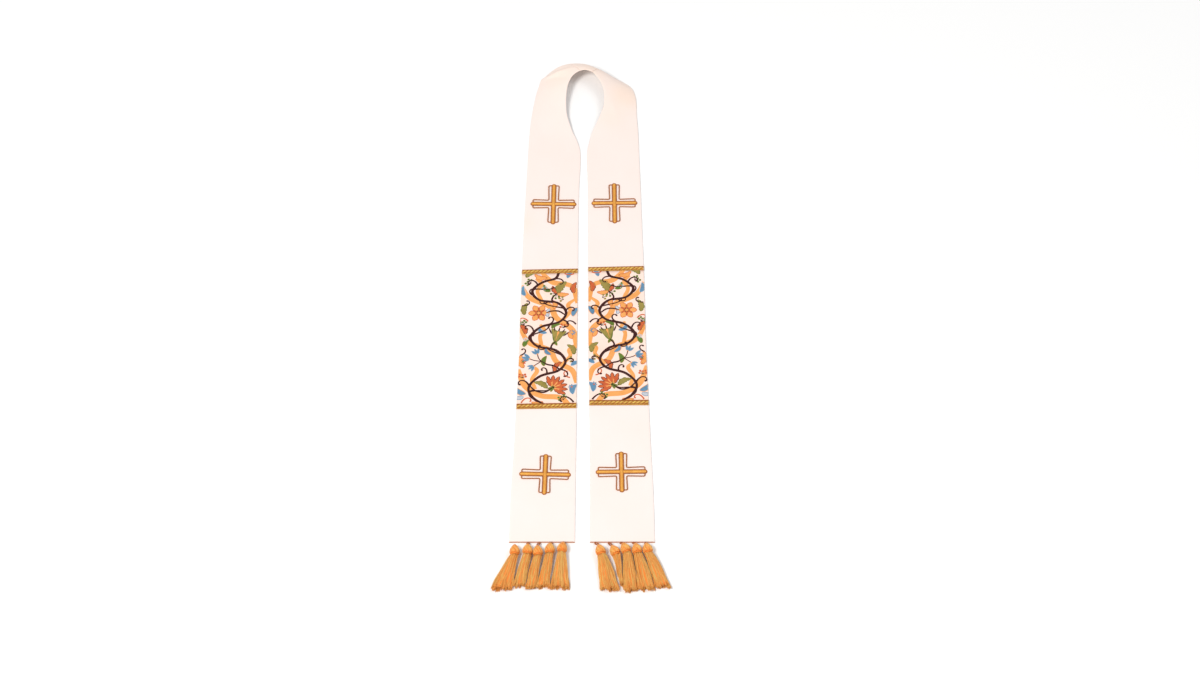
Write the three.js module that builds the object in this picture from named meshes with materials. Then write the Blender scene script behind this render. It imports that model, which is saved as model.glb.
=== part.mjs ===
// A clerical stole laid flat, face up: two flared fronts side by side, the band round the neck rolled over at
// the back, an embroidered orphrey and braids across each front, four crosses and ten tassels.
// Millimetres. While it is drawn, X runs across from the midline between the fronts, Y runs from the hems
// towards the neck, and Z is up from the surface that the stole lies on.
import * as THREE from 'three';

// ---- driving dimensions ----
const CLOTH = 2.4;             // face, interlining and backing together
const GAP = 0.3;               // clearance between sewn pieces
const ORPHREY = 1.0;           // thickness of the embroidered panel
const BRAID = { width: 12, thick: 2.2 };
const HEM_CORD = { diameter: 2.2, clear: 0.4 };
const CROSS = { rootHalf: 11.2, endHalf: 12.4, cord: 2.4, barHalf: 5.2, goldHalf: 3.1, tip: 4, base: 1.2, gold: 1.8 };
const TASSEL = { headRadius: 8.7, headLength: 19, neckRadius: 5.6, loopCord: 1.1, skirtNeck: 11, skirtEnd: 8.5 };
const COLUMNS = 6;             // strips of cloth across the band
const NECK_STEPS = 2;          // rows of cloth for each neck section

// The long edges of both fronts, a row for each level above the hem.
const FRONT_EDGES = [
  { y: 0, leftOuter: -145.3, leftInner: -14.5, rightInner: 15.2, rightOuter: 143.9 },
  { y: 110, leftOuter: -143.6, leftInner: -14.0, rightInner: 15.0, rightOuter: 142.2 },
  { y: 220, leftOuter: -139.1, leftInner: -13.2, rightInner: 14.8, rightOuter: 138.3 },
  { y: 330, leftOuter: -136.0, leftInner: -12.5, rightInner: 12.6, rightOuter: 135.0 },
  { y: 460, leftOuter: -132.9, leftInner: -12.3, rightInner: 10.5, rightOuter: 131.0 },
  { y: 550, leftOuter: -132.3, leftInner: -11.4, rightInner: 9.9, rightOuter: 129.7 },
  { y: 660, leftOuter: -130.2, leftInner: -11.6, rightInner: 9.6, rightOuter: 128.1 },
  { y: 770, leftOuter: -127.7, leftInner: -11.3, rightInner: 9.4, rightOuter: 125.3 },
  { y: 880, leftOuter: -124.6, leftInner: -10.2, rightInner: 9.1, rightOuter: 122.9 },
  { y: 988, leftOuter: -120.9, leftInner: -7.9, rightInner: 7.3, rightOuter: 120.0 },
];

// Sections round the neck, from the left front over the back to the right front. The inner edge, at the
// neck opening, rises from the surface, and the outer edge lies on it. roll is 0 where the band is straight
// from edge to edge and 1 where it runs level from the inner edge and then turns down steeply behind.
const NECK_SECTIONS = [
  { outer: [-119.9, 1020, 2.4], inner: [-15.3, 1018, 3.6], roll: 0 },
  { outer: [-118.6, 1044, 2.4], inner: [-24.1, 1039, 5.5], roll: 0 },
  { outer: [-117.0, 1068, 2.4], inner: [-31.0, 1060, 8.5], roll: 0 },
  { outer: [-114.6, 1092, 2.4], inner: [-37.2, 1082, 12], roll: 0 },
  { outer: [-111.0, 1119, 2.4], inner: [-39.8, 1109, 17], roll: 0.05 },
  { outer: [-105.6, 1152, 2.4], inner: [-38.8, 1138, 24], roll: 0.1 },
  { outer: [-100.5, 1174, 2.0], inner: [-35.6, 1157, 29], roll: 0.12 },
  { outer: [-95.5, 1191, 1.2], inner: [-27.8, 1175, 33], roll: 0.15 },
  { outer: [-80.0, 1209, 0.6], inner: [-21.5, 1181.5, 34.5], roll: 0.75 },
  { outer: [-62.0, 1221, 0.4], inner: [-15.5, 1186, 35.5], roll: 0.95 },
  { outer: [-39.0, 1228, 0.4], inner: [-8.5, 1189.8, 36.4], roll: 1 },
  { outer: [-3.0, 1227, 0.4], inner: [2.0, 1191.8, 37], roll: 1 },
  { outer: [22.0, 1218.5, 0.4], inner: [12.0, 1189.5, 36.2], roll: 0.97 },
  { outer: [48.0, 1205.5, 0.4], inner: [20.5, 1185, 35.2], roll: 0.85 },
  { outer: [72.0, 1192.5, 0.6], inner: [28.4, 1176, 33], roll: 0.65 },
  { outer: [92.0, 1181, 1.0], inner: [35.0, 1166, 31], roll: 0.4 },
  { outer: [106.0, 1167, 1.6], inner: [40.0, 1155, 28.5], roll: 0.25 },
  { outer: [112.8, 1147, 2.2], inner: [43.8, 1137, 24], roll: 0.15 },
  { outer: [115.8, 1122, 2.4], inner: [43.6, 1109, 17], roll: 0.05 },
  { outer: [115.9, 1098, 2.4], inner: [36.4, 1086, 12], roll: 0 },
  { outer: [117.2, 1070, 2.4], inner: [26.2, 1060, 8], roll: 0 },
  { outer: [118.6, 1045, 2.4], inner: [17.8, 1039, 5.5], roll: 0 },
  { outer: [119.4, 1020, 2.4], inner: [12.6, 1018, 3.6], roll: 0 },
];
const LEFT_SEAM = 10;          // the places of the two seams of the back of neck, in neck sections
const RIGHT_SEAM = 12.65;

// Each orphrey runs between the middles of its braids. rise is how much higher a braid's right end is.
const ORPHREYS = [
  { side: 'left', top: 666.3, topRise: 3.0, bottom: 321.3, bottomRise: 2.5 },
  { side: 'right', top: 674.3, topRise: 3.0, bottom: 329.5, bottomRise: 0.6 },
];

// Crosses: the middle, the overall size and the turn in degrees.
const CROSSES = [
  { name: 'left_top', x: -65.0, y: 842.3, width: 99, height: 109, turn: -0.8 },
  { name: 'right_top', x: 66.0, y: 844.9, width: 99, height: 109, turn: 0.6 },
  { name: 'left_bottom', x: -75.6, y: 156.3, width: 104.4, height: 97, turn: -1.4 },
  { name: 'right_bottom', x: 78.3, y: 162.3, width: 104.4, height: 97, turn: 0.8 },
];

// Tassels, left to right under each hem: the middle of the wound neck, the lean of the head in degrees, and
// the span of the skirt's end. loop is where its loop leaves the hem, or null where none shows.
const TASSELS = {
  left: [
    { neckX: -133.3, neckY: -34.7, lean: 0, loop: null, endFrom: -180.3, endTo: -136.2, endY: -109.9 },
    { neckX: -108.1, neckY: -33.3, lean: 1, loop: -106.7, endFrom: -135.3, endTo: -112.4, endY: -103.6 },
    { neckX: -87.1, neckY: -36.5, lean: -4, loop: -84.7, endFrom: -111.6, endTo: -90.0, endY: -107.0 },
    { neckX: -64.5, neckY: -31.0, lean: 3, loop: -60.4, endFrom: -89.2, endTo: -65.0, endY: -105.9 },
    { neckX: -40.9, neckY: -28.5, lean: 9, loop: -33.9, endFrom: -64.2, endTo: -24.9, endY: -107.0 },
  ],
  right: [
    { neckX: 38.0, neckY: -34.0, lean: -15, loop: 24.9, endFrom: 35.0, endTo: 73.6, endY: -111.5 },
    { neckX: 67.5, neckY: -35.1, lean: -24, loop: 52.0, endFrom: 74.6, endTo: 79.6, endY: -100.0 },
    { neckX: 88.0, neckY: -29.8, lean: -20, loop: 74.8, endFrom: 80.6, endTo: 111.2, endY: -113.7 },
    { neckX: 109.1, neckY: -31.4, lean: -11, loop: 99.9, endFrom: 112.0, endTo: 142.6, endY: -110.4 },
    { neckX: 130.6, neckY: -30.6, lean: -12.6, loop: 124.6, endFrom: 143.4, endTo: 174.1, endY: -105.9 },
  ],
};

// ---- finishes ----
const finish = (color, roughness, metalness = 0) => () => new THREE.MeshStandardMaterial({ color, roughness, metalness });
const creamCloth = finish(0xfdf1e4, 0.85);
const embroidery = finish(0xd99a68, 0.8);
const goldBraid = finish(0xd9963f, 0.5, 0.3);
const brownCord = finish(0x6b3f2a, 0.8);
const goldThread = finish(0xeda84a, 0.4, 0.4);
const tasselThread = finish(0xdb9142, 0.55, 0.15);

const stole = new THREE.Group();

function add(name, geometry, material) {
  const mesh = new THREE.Mesh(geometry, material());
  mesh.name = name;
  stole.add(mesh);
  return mesh;
}

// ---- solids from rows of points ----
// A closed wall from two matching grids of points: the face and the back.
function wall(face, back) {
  const rows = face.length;
  const columns = face[0].length;
  const points = [...face.flat(), ...back.flat()];
  const backStart = rows * columns;
  const faceAt = (row, column) => row * columns + column;
  const backAt = (row, column) => backStart + faceAt(row, column);
  const triangles = [];
  const quad = (a, b, c, d) => triangles.push(a, b, c, a, c, d);
  for (let row = 0; row < rows - 1; row += 1) {
    for (let column = 0; column < columns - 1; column += 1) {
      quad(faceAt(row, column), faceAt(row, column + 1), faceAt(row + 1, column + 1), faceAt(row + 1, column));
      quad(backAt(row, column), backAt(row + 1, column), backAt(row + 1, column + 1), backAt(row, column + 1));
    }
    quad(faceAt(row, 0), faceAt(row + 1, 0), backAt(row + 1, 0), backAt(row, 0));
    const last = columns - 1;
    quad(faceAt(row, last), backAt(row, last), backAt(row + 1, last), faceAt(row + 1, last));
  }
  for (let column = 0; column < columns - 1; column += 1) {
    quad(faceAt(0, column), backAt(0, column), backAt(0, column + 1), faceAt(0, column + 1));
    const end = rows - 1;
    quad(faceAt(end, column), faceAt(end, column + 1), backAt(end, column + 1), backAt(end, column));
  }
  return solid(points, triangles);
}

// A closed solid through rings of the same number of points, with a fan over each end.
function loft(rings) {
  const sides = rings[0].length;
  const points = rings.flat();
  const triangles = [];
  for (let ring = 0; ring < rings.length - 1; ring += 1) {
    for (let side = 0; side < sides; side += 1) {
      const next = (side + 1) % sides;
      const a = ring * sides + side;
      const b = ring * sides + next;
      triangles.push(a, b, b + sides, a, b + sides, a + sides);
    }
  }
  const lastRing = (rings.length - 1) * sides;
  for (let side = 1; side < sides - 1; side += 1) {
    triangles.push(0, side + 1, side);
    triangles.push(lastRing, lastRing + side, lastRing + side + 1);
  }
  return solid(points, triangles);
}

function solid(points, triangles) {
  const geometry = new THREE.BufferGeometry().setFromPoints(points);
  geometry.setIndex(triangles);
  geometry.computeVertexNormals();
  return geometry;
}

// ---- the band of cloth ----
// Its sections run from the left hem up round the neck and down to the right hem.
const flat = (outerX, innerX, y) => ({ outer: [outerX, y, CLOTH], inner: [innerX, y, CLOTH], roll: 0 });
const sections = [
  ...FRONT_EDGES.map((row) => flat(row.leftOuter, row.leftInner, row.y)),
  ...NECK_SECTIONS,
  ...FRONT_EDGES.map((row) => flat(row.rightOuter, row.rightInner, row.y)).reverse(),
];
const rail = (edge) => new THREE.CatmullRomCurve3(
  sections.map((section) => new THREE.Vector3(...section[edge])),
  false,
  'centripetal',
);
const outerRail = rail('outer');
const innerRail = rail('inner');
const lastSection = sections.length - 1;

// The face of the band at a place along it, counted in sections, and a place across it from 0 at the outer
// edge to 1 at the inner edge.
function bandPoint(along, across) {
  const place = THREE.MathUtils.clamp(along / lastSection, 0, 1);
  const outer = outerRail.getPoint(place);
  const inner = innerRail.getPoint(place);
  const below = Math.min(Math.floor(along), lastSection - 1);
  const roll = THREE.MathUtils.lerp(sections[below].roll, sections[below + 1].roll, along - below);
  const turn = inner.clone().lerp(outer, THREE.MathUtils.lerp(0.5, 0.94, roll));
  turn.z = THREE.MathUtils.lerp((inner.z + outer.z) / 2, inner.z - 3, roll);
  return new THREE.QuadraticBezierCurve3(outer, turn, inner).getPoint(across);
}

function bandNormal(along, across) {
  const step = 0.01;
  const a0 = Math.max(along - step, 0);
  const a1 = Math.min(along + step, lastSection);
  const c0 = Math.max(across - step, 0);
  const c1 = Math.min(across + step, 1);
  const forward = bandPoint(a1, across).sub(bandPoint(a0, across));
  const inward = bandPoint(along, c1).sub(bandPoint(along, c0));
  return inward.cross(forward).normalize();
}

// A wall of cloth between two places along the band.
function bandPiece(from, to) {
  const face = [];
  const back = [];
  for (const along of rowPlaces(from, to)) {
    const faceRow = [];
    const backRow = [];
    for (let column = 0; column <= COLUMNS; column += 1) {
      const across = column / COLUMNS;
      const point = bandPoint(along, across);
      const under = point.clone().addScaledVector(bandNormal(along, across), -CLOTH);
      under.z = Math.max(under.z, 0);
      faceRow.push(point);
      backRow.push(under);
    }
    face.push(faceRow);
    back.push(backRow);
  }
  return wall(face, back);
}

// Rows stand on every section, and NECK_STEPS of them to a section round the neck.
function rowPlaces(from, to) {
  const neckStart = FRONT_EDGES.length - 1;
  const neckEnd = neckStart + NECK_SECTIONS.length + 1;
  const places = [from];
  for (let section = Math.floor(from); section <= lastSection; section += 1) {
    const steps = section >= neckStart && section < neckEnd ? NECK_STEPS : 1;
    for (let step = 0; step < steps; step += 1) {
      const place = section + step / steps;
      if (place > from + 0.1 && place < to - 0.1) places.push(place);
    }
  }
  places.push(to);
  return places;
}

const SEAM_TRIM = 0.02;        // half a seam's gap, in sections
const leftSeam = FRONT_EDGES.length + LEFT_SEAM;
const rightSeam = FRONT_EDGES.length + RIGHT_SEAM;
add('front_left', bandPiece(0, leftSeam - SEAM_TRIM), creamCloth);
add('neck_back', bandPiece(leftSeam + SEAM_TRIM, rightSeam - SEAM_TRIM), creamCloth);
add('front_right', bandPiece(rightSeam + SEAM_TRIM, lastSection), creamCloth);

// The left and right ends of a line across a front at a level above the hem.
function frontSpan(side, y) {
  const next = FRONT_EDGES.findIndex((row) => row.y > y);
  const a = FRONT_EDGES[next - 1];
  const b = FRONT_EDGES[next];
  const between = (y - a.y) / (b.y - a.y);
  const at = (column) => THREE.MathUtils.lerp(a[column], b[column], between);
  return side === 'left' ? [at('leftOuter'), at('leftInner')] : [at('rightInner'), at('rightOuter')];
}

// ---- orphreys and braids ----
const ON_CLOTH = CLOTH + GAP;
const EDGE_INSET = 0.5;        // how far what is sewn on stops short of the cloth's long edges

function orphrey({ side, top, topRise, bottom, bottomRise }) {
  const levels = 6;
  const bars = 4;
  const trim = BRAID.width / 2 + GAP;
  const face = [];
  const back = [];
  for (let level = 0; level <= levels; level += 1) {
    const up = level / levels;
    const middle = THREE.MathUtils.lerp(bottom + trim, top - trim, up);
    const rise = THREE.MathUtils.lerp(bottomRise, topRise, up);
    const [left, right] = frontSpan(side, middle);
    const row = [];
    for (let bar = 0; bar <= bars; bar += 1) {
      const x = THREE.MathUtils.lerp(left + EDGE_INSET, right - EDGE_INSET, bar / bars);
      row.push(new THREE.Vector3(x, middle + rise * (bar / bars - 0.5), ON_CLOTH + ORPHREY));
    }
    face.push(row);
    back.push(row.map((point) => new THREE.Vector3(point.x, point.y, ON_CLOTH)));
  }
  add(`orphrey_${side}`, wall(face, back), embroidery);
}

// A braid is flat underneath with a low round back.
function braid(side, edge, middle, rise) {
  const half = BRAID.width / 2;
  const shoulder = BRAID.thick / 2;
  const section = new THREE.Shape();
  section.moveTo(-half, 0);
  section.lineTo(half, 0);
  section.lineTo(half, shoulder);
  section.quadraticCurveTo(0, 2 * BRAID.thick - shoulder, -half, shoulder);
  section.closePath();
  const [left, right] = frontSpan(side, middle);
  const length = right - left - 2 * EDGE_INSET;
  const geometry = new THREE.ExtrudeGeometry(section, { depth: length, bevelEnabled: false, curveSegments: 6 });
  const acrossToY = new THREE.Matrix4().makeBasis(
    new THREE.Vector3(0, 1, 0),
    new THREE.Vector3(0, 0, 1),
    new THREE.Vector3(1, 0, 0),
  );
  geometry.applyMatrix4(acrossToY);
  geometry.translate(-length / 2, 0, 0);
  const mesh = add(`braid_${side}_${edge}`, geometry, goldBraid);
  mesh.rotation.z = Math.asin(rise / length);
  mesh.position.set((left + right) / 2, middle, ON_CLOTH);
}

for (const row of ORPHREYS) {
  orphrey(row);
  braid(row.side, 'top', row.top, row.topRise);
  braid(row.side, 'bottom', row.bottom, row.bottomRise);
}

// ---- crosses ----
// The four arms in order round the cross: the way each points, and its half length.
const arms = (width, height) => [
  { turn: 0, reach: width / 2 },
  { turn: Math.PI / 2, reach: height / 2 },
  { turn: Math.PI, reach: width / 2 },
  { turn: -Math.PI / 2, reach: height / 2 },
];
const ORIGIN = new THREE.Vector2();
const armPoint = (arm, along, across) => new THREE.Vector2(along, across).rotateAround(ORIGIN, arm.turn);

// The round end of a bar, from one side of it to the other.
function barEnd(arm, reach, half, steps) {
  const points = [];
  for (let step = 0; step <= steps; step += 1) {
    const angle = THREE.MathUtils.lerp(-1, 1, step / steps) * (Math.PI / 2);
    points.push(armPoint(arm, reach - half + half * Math.cos(angle), half * Math.sin(angle)));
  }
  return points;
}

// The brown ground: a flared outline cord joined to wider bars, open between them so that the cloth shows.
function crossOutline(width, height) {
  const { rootHalf, endHalf, cord, barHalf, tip } = CROSS;
  const crossingHalf = barHalf + 0.2;    // the bars' ground spreads a little where they cross
  const bow = 0.3;                       // each end of the outline bows out a little to the bar
  const order = arms(width, height);
  const edge = order.flatMap((arm) => [
    armPoint(arm, rootHalf, -rootHalf),
    armPoint(arm, arm.reach - tip, -endHalf),
    armPoint(arm, arm.reach - tip + bow, -barHalf),
    ...barEnd(arm, arm.reach, barHalf, 6).slice(1, -1).filter((point) => point.length() > arm.reach - tip),
    armPoint(arm, arm.reach - tip + bow, barHalf),
    armPoint(arm, arm.reach - tip, endHalf),
  ]);
  const shape = new THREE.Shape(edge);
  order.forEach((arm, index) => {
    const next = order[(index + 1) % order.length];
    const stop = arm.reach - tip - cord;
    const nextStop = next.reach - tip - cord;
    shape.holes.push(new THREE.Path([
      armPoint(arm, crossingHalf, crossingHalf),
      armPoint(arm, stop + bow, barHalf - bow / 2),
      armPoint(arm, stop, endHalf - cord),
      armPoint(arm, rootHalf - cord, rootHalf - cord),
      armPoint(next, nextStop, -(endHalf - cord)),
      armPoint(next, nextStop + bow, -(barHalf - bow / 2)),
    ]));
  });
  return new THREE.ExtrudeGeometry(shape, { depth: CROSS.base, bevelEnabled: false });
}

// The gold bars, with soft shoulders.
function crossGold(width, height) {
  const { goldHalf, gold } = CROSS;
  const bevel = gold / 2;
  const flatEdge = 0.1;                  // height of the upright edge between the two shoulders
  const half = goldHalf - bevel;
  const inset = CROSS.barHalf - goldHalf + bevel;
  const edge = arms(width, height).flatMap((arm) => [
    armPoint(arm, half, -half),
    ...barEnd(arm, arm.reach - inset, half, 4),
  ]);
  const options = {
    depth: flatEdge,
    bevelEnabled: true,
    bevelThickness: bevel - flatEdge / 2,
    bevelSize: bevel,
    bevelSegments: 1,
  };
  const geometry = new THREE.ExtrudeGeometry(new THREE.Shape(edge), options);
  geometry.computeBoundingBox();
  geometry.translate(0, 0, -geometry.boundingBox.min.z);
  return geometry;
}

for (const { name, x, y, width, height, turn } of CROSSES) {
  const outline = add(`cross_outline_${name}`, crossOutline(width, height), brownCord);
  const gold = add(`cross_gold_${name}`, crossGold(width, height), goldThread);
  outline.position.set(x, y, ON_CLOTH);
  gold.position.set(x, y, ON_CLOTH + CROSS.base + GAP);
  outline.rotation.z = THREE.MathUtils.degToRad(turn);
  gold.rotation.z = THREE.MathUtils.degToRad(turn);
}

// ---- hem cords ----
const hemCordY = -(HEM_CORD.clear + HEM_CORD.diameter / 2);
for (const side of ['left', 'right']) {
  const [from, to] = frontSpan(side, 0);
  const length = to - from;
  const cord = new THREE.CylinderGeometry(HEM_CORD.diameter / 2, HEM_CORD.diameter / 2, length, 8);
  const mesh = add(`hem_cord_${side}`, cord, goldBraid);
  mesh.rotation.z = Math.PI / 2;
  mesh.position.set((from + to) / 2, hemCordY, HEM_CORD.diameter / 2);
}

// ---- tassels ----
const HEAD_Z = TASSEL.headRadius + GAP;

// A wound head: a dome that narrows to the neck, turned about its own axis.
function tasselHead() {
  const r = TASSEL.headRadius;
  const n = TASSEL.neckRadius;
  const length = TASSEL.headLength;
  const profile = [
    [0, 0], [n, 0], [n, length * 0.08], [r * 0.94, length * 0.2], [r, length * 0.4],
    [r * 0.9, length * 0.66], [r * 0.66, length * 0.86], [r * 0.3, length * 0.98], [0, length],
  ].map(([radius, height]) => new THREE.Vector2(radius, height));
  return new THREE.LatheGeometry(profile, 12);
}

// The skirt starts square to the leaning neck, spreads, and comes down onto the surface.
function tasselSkirt({ neckX, neckY, lean, endFrom, endTo, endY }) {
  const steps = 6;
  const sides = 12;
  const top = neckY - 2 * GAP;
  const slope = Math.tan(THREE.MathUtils.degToRad(lean));
  const rings = [];
  for (let step = 0; step <= steps; step += 1) {
    const down = step / steps;
    const left = THREE.MathUtils.lerp(neckX - TASSEL.neckRadius, endFrom, down);
    const right = THREE.MathUtils.lerp(neckX + TASSEL.neckRadius, endTo, down);
    const thick = THREE.MathUtils.lerp(TASSEL.skirtNeck, TASSEL.skirtEnd, down);
    const lift = (HEAD_Z - TASSEL.skirtNeck / 2) * (1 - down) ** 3;
    const ring = [];
    for (let side = 0; side < sides; side += 1) {
      const angle = (side / sides) * 2 * Math.PI;
      const x = (left + right) / 2 + ((right - left) / 2) * Math.cos(angle);
      const y = THREE.MathUtils.lerp(top, endY, down) - slope * (x - neckX) * (1 - down);
      const z = lift + (thick / 2) * (1 - Math.sin(angle));
      ring.push(new THREE.Vector3(x, y, z));
    }
    rings.push(ring.reverse());
  }
  return loft(rings);
}

// A loop of cord between the hem and the top of the head.
const LOOP_START = { below: 0.8, z: 2.2 };    // where it begins, under the hem cord
const LOOP_HALF_WIDTH = 2.3;

function tasselLoop(from, to) {
  const reach = from.distanceTo(to);
  const ringRadius = LOOP_HALF_WIDTH;
  const loop = new THREE.TorusGeometry(ringRadius, TASSEL.loopCord, 6, 10);
  loop.scale(1, reach / (2 * (ringRadius + TASSEL.loopCord)), 1);
  const direction = to.clone().sub(from).normalize();
  const turn = new THREE.Quaternion().setFromUnitVectors(new THREE.Vector3(0, 1, 0), direction);
  return { loop, turn, middle: from.clone().lerp(to, 0.5) };
}

for (const [side, rows] of Object.entries(TASSELS)) {
  rows.forEach((row, index) => {
    const name = `tassel_${side}_${index + 1}`;
    const lean = THREE.MathUtils.degToRad(row.lean);
    const head = add(`${name}_head`, tasselHead(), tasselThread);
    head.rotation.z = -lean;
    head.position.set(row.neckX, row.neckY, HEAD_Z);
    add(`${name}_skirt`, tasselSkirt(row), tasselThread);
    if (row.loop !== null) {
      const reach = TASSEL.headLength + GAP;
      const to = new THREE.Vector3(
        row.neckX + Math.sin(lean) * reach,
        row.neckY + Math.cos(lean) * reach,
        HEAD_Z,
      );
      const fromY = hemCordY - HEM_CORD.diameter / 2 - LOOP_START.below;
      const from = new THREE.Vector3(row.loop, fromY, LOOP_START.z);
      const { loop, turn, middle } = tasselLoop(from, to);
      const mesh = add(`${name}_loop`, loop, tasselThread);
      mesh.quaternion.copy(turn);
      mesh.position.copy(middle);
    }
  });
}

// ---- origin: the middle of the underside of the whole stole ----
stole.updateMatrixWorld(true);
const box = new THREE.Box3().setFromObject(stole, true);
stole.position.set(-(box.min.x + box.max.x) / 2, -(box.min.y + box.max.y) / 2, -box.min.z);

export default stole;
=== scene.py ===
import math
from collections import namedtuple

import bpy
import numpy as np
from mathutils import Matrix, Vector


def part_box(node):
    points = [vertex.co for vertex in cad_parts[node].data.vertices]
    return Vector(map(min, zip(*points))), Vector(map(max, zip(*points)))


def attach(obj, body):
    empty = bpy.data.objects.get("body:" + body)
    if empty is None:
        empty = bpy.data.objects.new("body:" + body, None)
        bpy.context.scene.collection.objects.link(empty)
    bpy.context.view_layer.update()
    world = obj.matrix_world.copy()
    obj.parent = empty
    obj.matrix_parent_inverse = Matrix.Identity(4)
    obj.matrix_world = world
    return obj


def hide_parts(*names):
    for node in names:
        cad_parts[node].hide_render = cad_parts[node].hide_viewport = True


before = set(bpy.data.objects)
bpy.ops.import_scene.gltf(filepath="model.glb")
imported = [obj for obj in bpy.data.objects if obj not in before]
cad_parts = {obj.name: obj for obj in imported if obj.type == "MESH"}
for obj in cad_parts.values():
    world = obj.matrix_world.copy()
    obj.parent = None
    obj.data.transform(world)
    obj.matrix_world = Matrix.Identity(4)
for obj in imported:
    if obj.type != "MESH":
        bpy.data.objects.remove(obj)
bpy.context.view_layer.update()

# ---------------------------------------------------------------- sizes
# The garment is worked in millimetres in its own frame: x from the midline between the fronts, y up from
# the hems towards the neck, z up from the surface that it lies on. to_frame() carries that into the
# shared frame.
MM = 0.001
CLOTH = 2.4              # face, interlining and backing together
EDGE_ROUND = CLOTH / 2   # every edge of the band is a soft fold
LINING_GAP = 0.3         # what is sewn on lies this far above the cloth
GROUND_CLOTH = 0.8       # the orphrey's own ground cloth
HEM_CORD = 2.2

Level = namedtuple("Level", "y left_outer left_inner right_inner right_outer")
FRONT_EDGES = [
    Level(0, -145.3, -14.5, 15.2, 143.9),
    Level(110, -143.6, -14.0, 15.0, 142.2),
    Level(220, -139.1, -13.2, 14.8, 138.3),
    Level(330, -136.0, -12.5, 12.6, 135.0),
    Level(460, -132.9, -12.3, 10.5, 131.0),
    Level(550, -132.3, -11.4, 9.9, 129.7),
    Level(660, -130.2, -11.6, 9.6, 128.1),
    Level(770, -127.7, -11.3, 9.4, 125.3),
    Level(880, -124.6, -10.2, 9.1, 122.9),
    Level(988, -120.9, -7.9, 7.3, 120.0),
]

# Sections round the neck: roll is 0 where the band is straight from edge to edge, and 1 where it runs level
# from the inner edge and then turns down steeply behind.
Section = namedtuple("Section", "outer inner roll")
NECK_SECTIONS = [
    Section((-119.9, 1020, 2.4), (-15.3, 1018, 3.6), 0),
    Section((-118.6, 1044, 2.4), (-24.1, 1039, 5.5), 0),
    Section((-117.0, 1068, 2.4), (-31.0, 1060, 8.5), 0),
    Section((-114.6, 1092, 2.4), (-37.2, 1082, 12), 0),
    Section((-111.0, 1119, 2.4), (-39.8, 1109, 17), 0.05),
    Section((-105.6, 1152, 2.4), (-38.8, 1138, 24), 0.1),
    Section((-100.5, 1174, 2.0), (-35.6, 1157, 29), 0.12),
    Section((-95.5, 1191, 1.2), (-27.8, 1175, 33), 0.15),
    Section((-80.0, 1209, 0.6), (-21.5, 1181.5, 34.5), 0.75),
    Section((-62.0, 1221, 0.4), (-15.5, 1186, 35.5), 0.95),
    Section((-39.0, 1228, 0.4), (-8.5, 1189.8, 36.4), 1),
    Section((-3.0, 1227, 0.4), (2.0, 1191.8, 37), 1),
    Section((22.0, 1218.5, 0.4), (12.0, 1189.5, 36.2), 0.97),
    Section((48.0, 1205.5, 0.4), (20.5, 1185, 35.2), 0.85),
    Section((72.0, 1192.5, 0.6), (28.4, 1176, 33), 0.65),
    Section((92.0, 1181, 1.0), (35.0, 1166, 31), 0.4),
    Section((106.0, 1167, 1.6), (40.0, 1155, 28.5), 0.25),
    Section((112.8, 1147, 2.2), (43.8, 1137, 24), 0.15),
    Section((115.8, 1122, 2.4), (43.6, 1109, 17), 0.05),
    Section((115.9, 1098, 2.4), (36.4, 1086, 12), 0),
    Section((117.2, 1070, 2.4), (26.2, 1060, 8), 0),
    Section((118.6, 1045, 2.4), (17.8, 1039, 5.5), 0),
    Section((119.4, 1020, 2.4), (12.6, 1018, 3.6), 0),
]
LEFT_SEAM = len(FRONT_EDGES) + 10.0      # the places along the band, counted in sections, of the two seams
RIGHT_SEAM = len(FRONT_EDGES) + 12.65

# Soft ridges and troughs left in the cloth by handling, and the crease at the left shoulder: the middle, the
# half length and half width, the height (a trough is negative) and the turn from straight up the front, in
# degrees.
Fold = namedtuple("Fold", "x y length width height turn")
FOLDS = [
    Fold(-92, 62, 60, 14, 0.35, 12),
    Fold(-40, 236, 46, 11, -0.35, -30),
    Fold(-112, 262, 70, 9, 0.3, 5),
    Fold(-104, 742, 55, 12, 0.4, -8),
    Fold(-38, 770, 40, 13, -0.35, 24),
    Fold(-70, 938, 52, 12, 0.5, 14),
    Fold(-96, 1060, 48, 10, -0.5, -12),
    Fold(-62, 1098, 34, 8, 0.7, 22),
    Fold(-86, 1150, 26, 7, -0.5, -35),
    Fold(-64, 1194, 34, 4.5, 2.3, 82),
    Fold(-58, 1205, 32, 6, -2.0, 82),
    Fold(48, 58, 64, 13, 0.35, -10),
    Fold(112, 250, 52, 10, -0.35, 16),
    Fold(34, 276, 44, 10, 0.3, -18),
    Fold(106, 744, 58, 11, 0.4, 10),
    Fold(36, 752, 38, 12, -0.3, -22),
    Fold(84, 944, 50, 13, 0.5, -12),
    Fold(96, 1064, 42, 9, -0.5, 15),
    Fold(66, 1102, 34, 8, 0.7, -18),
    Fold(92, 1146, 24, 7, -0.4, 30),
]

SEAM_TRIM = 0.02         # half a seam's gap, in sections

# Patches where the cloth is drawn warmer and a little darker: the middle, the reach and the strength.
WarmPatch = namedtuple("WarmPatch", "x y reach strength")
WARM_PATCHES = [
    WarmPatch(92, 1140, 34, 0.9),
    WarmPatch(60, 1080, 30, 0.35),
    WarmPatch(-50, 1190, 40, 0.5),
    WarmPatch(20, 1196, 30, 0.6),
    WarmPatch(-128, 790, 26, 0.4),
]

Orphrey = namedtuple("Orphrey", "side top top_rise bottom bottom_rise")
ORPHREYS = [
    Orphrey("left", 662.5, 3.0, 321.3, 2.5),
    Orphrey("right", 669.3, 3.0, 329.5, 0.6),
]

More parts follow.
